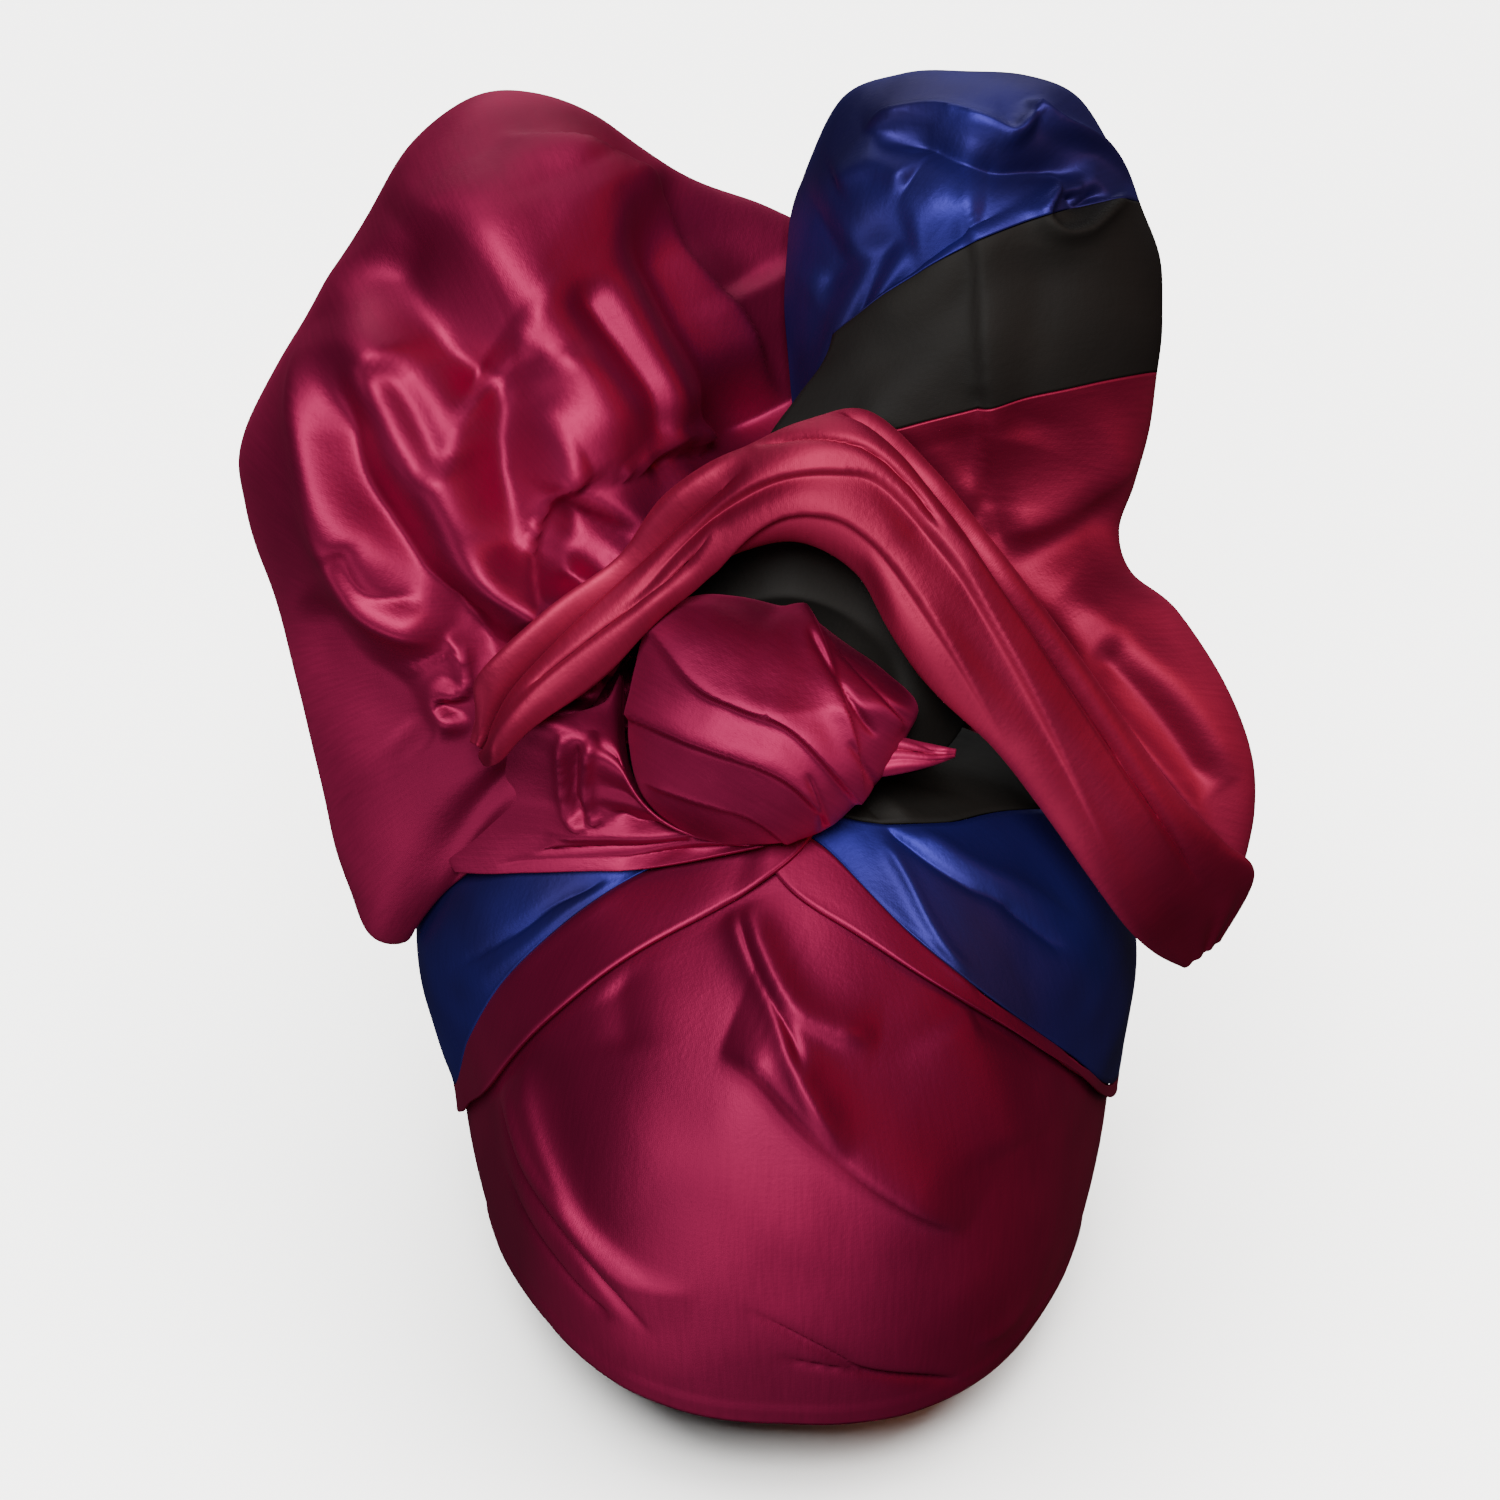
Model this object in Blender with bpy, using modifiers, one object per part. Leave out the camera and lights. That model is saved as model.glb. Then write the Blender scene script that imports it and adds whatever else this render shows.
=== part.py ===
# A satin head wrap: an open head covering, a band round it, a knot, and the loops and sash of a large bow

# The wearer faces -Y, and the origin is the inside of the crown, where the wrap sits on a head.
# The bow is drawn on a plane that leans back by BOW_LEAN: across is +X, rise runs up that plane, and
# proud stands out of it towards the front. Tables are in millimetres and degrees.

import math

import bmesh
import bpy
import numpy as np

MM = 0.001

# Head covering, measured from the level where the head is widest
CROWN_HEIGHT = 87.0
HALF_WIDTH = 87.5
FRONT_LENGTH = 102.5
BACK_LENGTH = 108.0
DROP = 130.0
ROUNDNESS = 2.3
TAPER_LEFT, TAPER_RIGHT = 0.09, 0.075
CAP_WALL = 2.0
# The lower edge as azimuth and elevation: level over the forehead, low at the nape
RIM = [
    (-180, -46), (-120, -43), (-80, -38), (-45, -30.5), (-20, -30.5), (5, -31.5),
    (30, -33), (50, -35), (80, -39), (120, -43), (180, -46),
]

# Cloth
CLOTH = 1.6
LAYER_GAP = 1.1
SEAM_GAP = 1.0
TIP_CLOTH = 1.2
BOW_LEAN = 35.0
SASH_TURN = 0.35

# How far the middle of a sheet stays off what it rests on, and how softly it is eased off it
REST = 2.3
TIP_REST = 1.6
NECK_REST = 1.5
WOUND_REST = 0.8
HEAD_EASE = 4.0
WOUND_EASE = 0.03

# Mesh fineness
CAP_SEGMENTS, CAP_RINGS = 44, 19
CAP_FRONT_CROWDING = 24.0
WOUND_SEGMENTS, WOUND_RINGS = 20, 14
BAND_SEGMENTS = 36
HEM_STEPS, BLUE_STEPS, BLACK_STEPS = 3, 6, 4
LEFT_STRANDS, LEFT_STATIONS = 22, 21
BLUE_STRANDS, BLACK_STRANDS, RED_STRANDS = 10, 6, 12
RIGHT_STATIONS = 19
SASH_LENGTH_STEPS, SASH_WIDTH_STEPS = 28, 8
TIP_LENGTH_STEPS, TIP_WIDTH_STEPS = 7, 5
TAIL_STRANDS, TAIL_STATIONS = 9, 13
FOLD_STEPS = 12

CENTRE = np.array([0.0, 0.0, CAP_WALL - CROWN_HEIGHT])
LEAN_SIN = math.sin(math.radians(BOW_LEAN))
LEAN_COS = math.cos(math.radians(BOW_LEAN))

COLOURS = {
    "magenta": ((0.36, 0.018, 0.075), 0.38),
    "crimson": ((0.34, 0.018, 0.035), 0.40),
    "blue": ((0.012, 0.020, 0.150), 0.36),
    "black": ((0.020, 0.018, 0.014), 0.60),
}

# Wrap band round the head. Azimuth is counted from the front towards the wearer's right-hand side of the
# view, so that -90 is -X. Each edge is an elevation above the head's widest level.
BAND_COLUMNS = ("azimuth", "hem", "seam", "blue_top", "black_top", "puff")
BAND = [
    (-5, 60, 68, 77, 88, 1.0),
    (-20, 52, 67, 75, 88, 2.0),
    (-33, 43, 61, 73, 87, 4.0),
    (-46, 28, 52, 68, 86, 7.0),
    (-61, 7.3, 30, 62, 84, 11.0),
    (-72, -4, 10, 55, 82, 14.0),
    (-84, -15, -9, 46, 80, 14.0),
    (-110, -27, -20, 30, 68, 9.0),
    (-145, -36, -29, 12, 48, 5.0),
    (-180, -40, -33, 5, 38, 4.0),
    (-215, -36, -29, 12, 48, 4.0),
    (-250, -23, -17, 32, 68, 5.0),
    (-283, -6.5, -3.5, 53, 80, 6.5),
    (-305, 14.7, 17.5, 60, 84, 6.0),
    (-320, 29.3, 33, 64, 86, 5.0),
    (-332, 39.8, 47, 68, 87, 3.0),
    (-345, 49.7, 64, 73, 88, 2.0),
    (-364.4, 60, 68, 77, 88, 1.0),
]

# Strands of a loop, one row each: where it leaves the neck, its middle, and the outer fold that turns it
# back, then how proud its two ends are and how far it swells before and behind.
STRAND_COLUMNS = (
    "inner_across", "inner_rise", "mid_across", "mid_rise", "outer_across", "outer_rise",
    "inner_proud", "outer_proud", "front", "back",
)
LEFT_LOOP = [
    (-58, -16, -72, -32, -84, -44, 22, -22, 6, 8),
    (-60, -10, -82, -30, -97, -48, 22, -22, 10, 8),
    (-60, -3, -88, -24, -109, -46, 22, -20, 16, 10),
    (-58, 3, -92, -14, -115, -33, 23, -17, 22, 12),
    (-54, 9, -96, 1, -121, -10, 24, -13, 28, 14),
    (-50, 15, -100, 24, -130, 32, 25, -8, 36, 18),
    (-46, 20, -103, 44, -140, 66, 26, -4, 46, 24),
    (-43, 25, -102, 56, -140, 86, 26, -2, 54, 26),
    (-39, 31, -92, 74, -123.5, 116.5, 26, 0, 60, 28),
    (-35, 37, -80, 88, -108.5, 140.5, 26, 0, 62, 28),
    (-31, 43, -68, 100, -97, 160, 26, -2, 60, 28),
    (-27, 49, -57, 109, -82, 172, 25, -4, 56, 26),
    (-23, 55, -46, 114, -67, 174, 24, -6, 50, 24),
    (-18, 61, -35, 115, -50, 168, 22, -8, 42, 20),
    (-13, 66, -22, 111, -29, 154, 18, -12, 32, 16),
    (-8, 70, -10, 109, -10, 147, 9, -20, 20, 12),
    (-4, 72, -1, 107, 4, 138, 2, -27, 9, 8),
]
RIGHT_LOOP = [
    (3, 84, 0, 128, 5, 152, 10, 4, 12, 4),
    (4, 87, 7, 134, 15, 172, 11, 3, 32, 12),
    (6, 90, 17, 141, 30, 177.5, 12, 2, 46, 18),
    (8, 94, 28, 143, 46, 178, 14, 0, 56, 24),
    (10, 98, 36, 142, 62, 177, 16, -1, 60, 26),
    (11, 102, 43, 139, 75, 172, 19, -2, 60, 28),
    (12, 105, 48, 135, 84, 158, 23, -2, 58, 28),
    (12.5, 108, 50, 132, 91, 144, 28, -2, 56, 28),
    (8, 101, 50, 120, 96.5, 130, 28, -2, 54, 28),
    (2, 92, 49, 105, 97, 115, 27, -2, 52, 28),
    (-6, 78, 46, 89, 95.5, 101, 26, -2, 46, 28),
    (2, 72, 48, 82, 93.5, 86, 24, -1, 40, 26),
    (8, 69, 52, 73, 90, 72, 24, 0, 32, 24),
    (14, 66, 56, 63, 85.5, 60, 26, 2, 26, 22),
    (19, 63, 60, 52, 89, 49, 26, 2, 24, 20),
    (24, 60, 65, 41, 101, 39, 26, 0, 24, 20),
    (28, 57, 69, 29, 113, 21, 27, -2, 26, 20),
    (31, 53, 71, 19, 120.5, 3, 26, -4, 24, 20),
    (34, 48, 70, 10, 121.5, -13, 25, -5, 22, 20),
    (37, 43, 68, 4, 118, -28, 24, -6, 20, 18),
]
# Where one panel's cloth gives way to the next along the right loop, as shares of its strands
BLUE_ENDS, BLACK_ENDS = 7 / 19, 10 / 19

# The sash runs from its gathered tip, over the knot as an arch, and down to the right as a drape.
SASH_COLUMNS = ("upper_across", "upper_rise", "lower_across", "lower_rise", "proud", "depth")
SASH = [
    (-80, 5, -77, 0, 46, 5),
    (-75, 20, -67, 8, 47, 9),
    (-60, 36, -50, 19, 48, 11),
    (-42, 51, -36, 32, 49, 12),
    (-26, 67, -23, 47, 50, 14),
    (-11, 77, -10, 54, 52, 17),
    (4, 85, 4, 55.5, 53, 20),
    (20, 88, 18, 47, 52.3, 22),
    (38, 76, 27, 30, 51.0, 22),
    (53, 58, 38, 17, 49, 21),
    (68, 34, 52, 4, 45, 19),
    (83, 13.5, 64, -11, 40, 17),
    (98, -7, 77, -29, 33, 15),
    (111, -20, 87, -42, 24, 13),
    (120, -29, 95, -49, 14, 9),
    (112, -46, 103, -53, 6, 4),
]
KNOT_TIP = [
    (17, 10, 19, -6, 53, 5),
    (26, 8, 26, -4, 53, 5),
    (35, 4.5, 35, -1, 53, 4),
    (42.5, 3, 42, 1.5, 50, 2),
]

TAIL = [
    (-21, -20, -50, -30, -80, -26, 38, 34, 5, 1),
    (-21, -19, -50, -24, -80, -18, 39, 34, 9, 1),
    (-21, -18, -50, -17, -79, -8, 40, 35, 12, 1),
    (-21, -17, -50, -10, -76, 0, 40, 36, 13, 1),
    (-21, -16, -49, -4, -71, 8, 40, 37, 13, 1),
    (-21, -15, -47, 1, -64, 11, 40, 37, 12, 1),
    (-22, -14, -44, 2, -55, 10, 40, 38, 10, 1),
    (-23, -13, -38, -2, -44, 5, 40, 38, 8, 1),
]

# Thick wound pieces: middle and half sizes as across, rise, proud; pleats run round a gathered one
KNOT = {"middle": (-5.5, 12.0, 39.5), "half": (36.0, 31.0, 28.0), "square": 2.5, "pleats": 0}
NECK = {"middle": (12.0, 29.0, 8.0), "half": (37.0, 38.0, 17.0), "square": 2.2, "pleats": 7}
KNOT_SLOPE = 0.45
PLEAT_DEPTH = 1.5

# Where each loop's strands end behind: the middle of that line, its direction and length, how high its
# gathers stand, and how many there are
LEFT_GATHER = {"at": (-22.0, 34.0, 6.0), "along": (-0.3, 0.95), "spread": 40.0, "wave": 3.0, "count": 5}
RIGHT_GATHER = {"at": (30.0, 38.0, 6.0), "along": (-0.2, -0.98), "spread": 40.0, "wave": 3.0, "count": 5}
TAIL_GATHER = {"at": (-24.0, -17.0, 34.0), "along": (-0.3, 0.95), "spread": 6.0, "wave": 0.5, "count": 2}

# Folds, one row each: four places on the drawing plane that the fold runs through, its height, and how
# wide it is on the left and right of that run.
FOLD_COLUMNS = ("a1", "r1", "a2", "r2", "a3", "r3", "a4", "r4", "height", "left", "right")
CAP_FOLDS = [
    (-12, -34, -7, -57, 3, -78, 17, -100, 6.0, 11, 5),
    (-9, -72, 4, -92, 20, -106, 46, -119, 5.5, 5, 11),
    (-67, -77, -61, -100, -48, -124, -26, -138, 5.5, 6, 11),
    (-74, -84, -68, -112, -52, -138, -30, -158, 4.5, 6, 6),
    (-12, -144, 14, -153, 42, -158, 68, -140, 3.5, 7, 7),
]
LEFT_LOOP_FOLDS = [
    (-75, 18, -93, 38, -114, 54, -121, 92, 11.0, 9, 12),
    (-70, 26, -84, 44, -104, 66, -112, 92, -8.0, 7, 7),
    (-68, 30, -76, 50, -88, 74, -92, 96, 7.0, 7, 7),
    (-64, 34, -66, 56, -70, 80, -60, 98, -9.0, 8, 8),
    (-36, 72, -50, 92, -66, 120, -84, 146, 9.0, 9, 9),
    (-20, 78, -32, 100, -46, 122, -60, 140, -7.0, 6, 6),
    (-12, 84, -22, 104, -36, 128, -46, 148, 9.0, 8, 7),
    (4, 92, -10, 108, -24, 132, -56, 150, 8.0, 9, 5),
]
RIGHT_FOLDS = [
    (22, 155, 44, 157, 60, 160, 84, 148, 5.0, 5, 5),
    (26, 150, 42, 140, 58, 134, 78, 142, -5.0, 8, 8),
    (52, 108, 50, 96, 50, 84, 50, 72, 4.0, 5, 4),
    (60, 50, 70, 54, 78, 60, 86, 66, -8.0, 7, 7),
    (28, 84, 46, 66, 56, 52, 60, 48, 5.0, 5, 3),
    (46, 50, 66, 30, 88, 6, 110, -18, 5.0, 6, 5),
]
SASH_FOLDS = [
    (-76, 5, -59, 28, -38, 45, -20, 60, -5.0, 3.5, 3.5),
    (-16, 66, 8, 76, 28, 72, 42, 46, 3.5, 5, 3.5),
    (-8, 58, 12, 62, 26, 50, 34, 34, 3.0, 4, 4),
    (30, 70, 50, 42, 72, 12, 100, -22, 3.5, 5, 5),
]
KNOT_FOLDS = [
    (-37, 21, -22, 12, -4, 6, 16, -12, 3.0, 4, 2.5),
    (-38, 6, -24, 0, -8, -2, -4, -8, 2.5, 4, 2.5),
    (6, 34, 14, 20, 20, 8, 26, -2, 3.0, 3, 4),
]
TAIL_FOLDS = [
    (-53, 6, -53, -4, -52, -14, -48, -20, 3.5, 3, 3),
    (-70, -25, -54, -24, -38, -22, -22, -19, 3.5, 3.5, 3.5),
]

# The hem's elevation by azimuth, from the left-most azimuth up
HEM_LINE = ([row[0] for row in BAND[::-1]], [row[1] for row in BAND[::-1]])


def columns(rows, names):
    """A table as one array for each named column."""
    return dict(zip(names, np.asarray(rows, float).T))


def smooth_rows(rows, at):
    """Reads a table between its rows on a smooth line through them; at runs from 0 to 1."""
    rows = np.asarray(rows, float)
    last = len(rows) - 1
    place = np.clip(np.asarray(at, float), 0, 1) * last
    index = np.minimum(place.astype(int), last - 1)
    f = (place - index)[..., None]
    before, start = rows[np.maximum(index - 1, 0)], rows[index]
    end, after = rows[index + 1], rows[np.minimum(index + 2, last)]
    bend = 2 * before - 5 * start + 4 * end - after
    turn = 3 * start - before - 3 * end + after
    return 0.5 * (2 * start + (end - before) * f + bend * f**2 + turn * f**3)


def ramp(value, low, high):
    """0 below low, 1 above high, and a soft step between."""
    f = np.clip((value - low) / (high - low), 0, 1)
    return f * f * (3 - 2 * f)


def from_plane(across, rise, proud):
    """A place on the leaning drawing plane, as X, Y, Z."""
    return np.stack([
        across,
        rise * LEAN_SIN - proud * LEAN_COS,
        rise * LEAN_COS + proud * LEAN_SIN,
    ], axis=-1)


def on_plane(points):
    """Across, rise and proud of X, Y, Z points."""
    x, y, z = points[..., 0], points[..., 1], points[..., 2]
    return x, y * LEAN_SIN + z * LEAN_COS, z * LEAN_SIN - y * LEAN_COS


def direction(azimuth, elevation):
    """The unit direction from the head's centre; azimuth 0 is -Y and +90 is +X."""
    az, el = np.radians(azimuth), np.radians(elevation)
    return np.stack([np.sin(az) * np.cos(el), -np.cos(az) * np.cos(el), np.sin(el)], axis=-1)


def cap_radius(unit):
    """How far the covering's outside is from the head's centre, in each direction."""
    x, y, z = unit[..., 0], unit[..., 1], unit[..., 2]
    taper = TAPER_LEFT + (TAPER_RIGHT - TAPER_LEFT) * ramp(x, -0.2, 0.2)
    width = HALF_WIDTH * (1 - taper * ramp(-y, -0.1, 0.6))
    length = np.where(y < 0, FRONT_LENGTH, BACK_LENGTH)
    height = np.where(z > 0, CROWN_HEIGHT, DROP)
    total = (
        np.abs(x / width) ** ROUNDNESS
        + np.abs(y / length) ** ROUNDNESS
        + np.abs(z / height) ** ROUNDNESS
    )
    return total ** (-1 / ROUNDNESS)


def fold_height(across, rise, folds):
    """The height of all the folds together at places on the drawing plane."""
    total = np.zeros_like(across)
    for row in folds:
        run = smooth_rows(np.reshape(row[:8], (4, 2)), np.linspace(0, 1, FOLD_STEPS + 1))
        height, left, right = row[8:]
        nearest = np.full(across.shape, np.inf)
        side = np.zeros_like(across)
        along = np.zeros_like(across)
        for step, (start, end) in enumerate(zip(run[:-1], run[1:])):
            span = end - start
            length = float(np.hypot(*span))
            f = ((across - start[0]) * span[0] + (rise - start[1]) * span[1]) / length**2
            f = np.clip(f, 0, 1)
            da, dr = across - start[0] - f * span[0], rise - start[1] - f * span[1]
            away = np.hypot(da, dr)
            closer = away < nearest
            nearest = np.where(closer, away, nearest)
            side = np.where(closer, span[0] * dr - span[1] * da, side)
            along = np.where(closer, (step + f) / (len(run) - 1), along)
        width = np.where(side > 0, left, right)
        ends = ramp(along, 0, 0.12) * ramp(1 - along, 0, 0.25)
        total += height * np.exp(-((nearest / width) ** 2)) * (0.25 + 0.75 * ends)
    return total


def band_rise(share):
    """The band's swell across its width, 0 at the seam and 1 at the top of the black panel."""
    return np.sin(np.pi * np.clip(share, 0, 1)) ** 1.3


def band_outside(azimuth, elevation):
    """How far the band's outside stands off the covering, 0 where there is no band."""
    turned = np.where(azimuth > BAND[0][0], azimuth - 360, azimuth)
    places = np.array([row[0] for row in BAND], float)[::-1]
    hem, seam, blue_top, black_top, puff = (
        np.interp(turned, places, np.array([row[i] for row in BAND], float)[::-1])
        for i in range(1, 6)
    )
    share = (elevation - seam) / np.maximum(black_top - seam, 1)
    inside = ramp(elevation, hem - 6, hem - 1)
    return inside * (LAYER_GAP + CLOTH + puff * band_rise(share))


def eased(value, least, softness):
    """The value, raised smoothly so that it stays above the least one."""
    gap = value - least
    raised = least + softness * np.log1p(np.exp(np.clip(gap / softness, -30, 30)))
    return np.where(gap > 5 * softness, value, raised)


def clear_of_head(points, clearance):
    """Pushes points that are too near the covering or its band straight out from the head's centre."""
    away = points - CENTRE
    distance = np.linalg.norm(away, axis=-1)
    unit = away / distance[..., None]
    azimuth = np.degrees(np.arctan2(unit[..., 0], -unit[..., 1]))
    elevation = np.degrees(np.arcsin(np.clip(unit[..., 2], -1, 1)))
    least = cap_radius(unit) + band_outside(azimuth, elevation) + clearance
    lifted = eased(distance, least, HEAD_EASE)
    return CENTRE + unit * lifted[..., None]


def clear_of_wound(points, wound, clearance):
    """Pushes points that are too near a wound piece straight out from its middle."""
    middle = from_plane(*wound["middle"])
    away = points - middle
    half = np.array(wound["half"]) + clearance
    plane = np.abs(np.stack(on_plane(away), axis=-1)) / half
    reach = np.maximum(np.sum(plane ** wound["square"], axis=-1) ** (1 / wound["square"]), 1e-6)
    return middle + away * (eased(reach, 1.0, WOUND_EASE) / reach)[..., None]


def seated(points, clearance):
    """Points kept clear of the head and of both wound pieces."""
    points = clear_of_wound(points, KNOT, clearance)
    points = clear_of_wound(points, NECK, clearance)
    return clear_of_head(points, clearance)


def inset_edges(grid, distance):
    """Draws the first and last strands in, so that two panels keep a seam between them."""
    moved = grid.copy()
    for edge, inner in ((0, 1), (-1, -2)):
        step = grid[inner] - grid[edge]
        length = np.linalg.norm(step, axis=-1, keepdims=True)
        moved[edge] += step * np.minimum(distance / np.maximum(length, 1e-6), 0.5)
    return moved


def surface_normals(grid, towards):
    """Normals of a grid of points, facing the way that the vector towards says on the whole."""
    along = np.gradient(grid, axis=0)
    across = np.gradient(grid, axis=1)
    normal = np.cross(along, across)
    normal /= np.maximum(np.linalg.norm(normal, axis=-1, keepdims=True), 1e-9)
    facing = np.sum(normal * towards)
    return normal if facing > 0 else -normal


def fan_points(rows, t, stations, folds, gather):
    """A loop: strands run out along the front, round the outer fold, and back behind to the neck.

    t says which strands, from 0 for the first row of the table to 1 for the last.
    """
    turn = np.linspace(0, math.pi, stations)
    row = columns(smooth_rows(rows, t), STRAND_COLUMNS)
    row = {name: values[:, None] for name, values in row.items()}
    rho, q = np.sin(turn)[None, :], np.cos(turn)[None, :]
    behind = ramp(-q, 0.0, 0.9)
    spread = (t[:, None] - 0.5) * gather["spread"]
    place = []
    for axis, (inner, mid, outer) in enumerate((
        ("inner_across", "mid_across", "outer_across"),
        ("inner_rise", "mid_rise", "outer_rise"),
    )):
        back_end = gather["at"][axis] + spread * gather["along"][axis]
        front_end = row[inner]
        start = front_end + (back_end - front_end) * behind
        middle = row[mid] + ((back_end + row[outer]) / 2 - row[mid]) * behind
        place.append(
            start * (1 - rho) * (1 - 2 * rho)
            + middle * 4 * rho * (1 - rho)
            + row[outer] * rho * (2 * rho - 1)
        )
    start = row["inner_proud"] + (gather["at"][2] - row["inner_proud"]) * behind
    plump = 0.1 + 0.9 * (1 - (1 - rho) ** 1.9)
    swell = np.where(q > 0, row["front"], row["back"]) * q * plump
    proud = start + (row["outer_proud"] - start) * rho + swell
    wave = np.cos(2 * np.pi * gather["count"] * t[:, None]) * rho * (1 - rho) * 4
    proud = proud + gather["wave"] * wave * ramp(-q, 0.1, 0.6)
    grid = from_plane(place[0], place[1], proud)
    normal = surface_normals(grid[:, : stations // 2], from_plane(0.0, 0.0, 1.0))
    height = fold_height(place[0], place[1], folds) * ramp(q, 0.0, 0.45)
    grid[:, : stations // 2] += normal * height[:, : stations // 2, None]
    return seated(grid, REST)


def sash_points(rows, folds, length_steps, width_steps, rest=REST):
    """The sash: a band with its long edges turned back, gathered into lengthwise pleats."""
    row = columns(smooth_rows(rows, np.linspace(0, 1, length_steps)), SASH_COLUMNS)
    row = {name: values[:, None] for name, values in row.items()}
    bend = np.linspace(-math.pi / 2, math.pi / 2, width_steps)[None, :]
    share = (1 + np.sin(bend)) / 2
    across = row["upper_across"] + (row["lower_across"] - row["upper_across"]) * share
    rise = row["upper_rise"] + (row["lower_rise"] - row["upper_rise"]) * share
    proud = row["proud"] + row["depth"] * (np.cos(bend) ** 0.8 - SASH_TURN)
    grid = from_plane(across, rise, proud)
    normal = surface_normals(grid, from_plane(0.0, 0.0, 1.0))
    height = fold_height(across, rise, folds) * ramp(np.cos(bend), 0.1, 0.6)
    return seated(grid + normal * height[..., None], rest)


def band_points(low, high, azimuth_steps, width_steps):
    """One panel of the band, between two of its named edges."""
    row = columns(smooth_rows(BAND, np.linspace(0, 1, azimuth_steps)), BAND_COLUMNS)
    row = {name: values[:, None] for name, values in row.items()}
    share = np.linspace(0, 1, width_steps)[None, :]
    inset = math.degrees(SEAM_GAP / 1.4 / HALF_WIDTH)
    bottom = row[low] + inset
    elevation = bottom + (row[high] - inset - bottom) * share
    azimuth = row["azimuth"] + 0 * elevation
    unit = direction(azimuth, elevation)
    across_band = (elevation - row["seam"]) / (row["black_top"] - row["seam"])
    lift = LAYER_GAP + CLOTH + row["puff"] * band_rise(across_band)
    radius = cap_radius(unit) + lift
    return CENTRE + unit * radius[..., None]


def new_object(name, mesh, colour, collection):
    """A named object with its own cloth material."""
    obj = bpy.data.objects.new(name, mesh)
    collection.objects.link(obj)
    base, roughness = COLOURS[colour]
    material = bpy.data.materials.new(name + "_satin")
    material.use_nodes = True
    shader = material.node_tree.nodes["Principled BSDF"]
    shader.inputs["Base Color"].default_value = (*base, 1.0)
    shader.inputs["Roughness"].default_value = roughness
    shader.inputs["Metallic"].default_value = 0.0
    mesh.materials.append(material)
    mesh.shade_smooth()
    return obj


def add_wall(obj, thickness, side):
    """Gives an open cloth surface its thickness; side -1 is inwards, 0 is both ways."""
    wall = obj.modifiers.new("Cloth", "SOLIDIFY")
    wall.thickness = thickness * MM
    wall.offset = side
    wall.use_quality_normals = True
    return wall


def sheet(name, points, colour, collection, thickness=CLOTH, side=0.0):
    """A cloth sheet: a grid primitive whose points are laid along the given surface."""
    rows, stations = points.shape[:2]
    bm = bmesh.new()
    bmesh.ops.create_grid(bm, x_segments=rows - 1, y_segments=stations - 1, size=0.5)
    places = points.reshape(-1, 3) * MM
    for vertex in bm.verts:
        i = round((vertex.co.x + 0.5) * (rows - 1))
        j = round((vertex.co.y + 0.5) * (stations - 1))
        vertex.co = places[i * stations + j]
    mesh = bpy.data.meshes.new(name)
    bm.to_mesh(mesh)
    bm.free()
    obj = new_object(name, mesh, colour, collection)
    add_wall(obj, thickness, side)
    return obj


def crown_cap(collection):
    """The head covering: a sphere primitive opened at the bottom and drawn to the head's form."""
    bm = bmesh.new()
    bmesh.ops.create_uvsphere(bm, u_segments=CAP_SEGMENTS, v_segments=CAP_RINGS + 1, radius=1.0)
    south = [v for v in bm.verts if v.co.z < -0.9999]
    bmesh.ops.delete(bm, geom=south, context="VERTS")
    for vertex in bm.verts:
        polar = math.degrees(math.acos(max(-1.0, min(1.0, vertex.co.z))))
        ring = polar / 180 * (CAP_RINGS + 1) / CAP_RINGS
        plain = math.degrees(math.atan2(vertex.co.x, -vertex.co.y)) if 0 < ring else 0.0
        azimuth = plain - CAP_FRONT_CROWDING * math.sin(math.radians(plain))
        rim = np.interp(azimuth, *zip(*RIM))
        elevation = 90 - (90 - rim) * ring
        unit = direction(azimuth, elevation)
        point = CENTRE + unit * float(cap_radius(unit))
        across, rise, proud = on_plane(point)
        hem = np.interp(azimuth if azimuth < BAND[0][0] else azimuth - 360, *HEM_LINE)
        front = float(ramp(proud, -25, 5)) * float(1 - ramp(elevation, hem - 13, hem - 4))
        height = float(fold_height(np.array([across]), np.array([rise]), CAP_FOLDS)[0])
        vertex.co = (point + unit * height * front) * MM
    mesh = bpy.data.meshes.new("crown_cap")
    bm.to_mesh(mesh)
    bm.free()
    obj = new_object("crown_cap", mesh, "magenta", collection)
    add_wall(obj, CAP_WALL, -1.0)
    return obj


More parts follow.
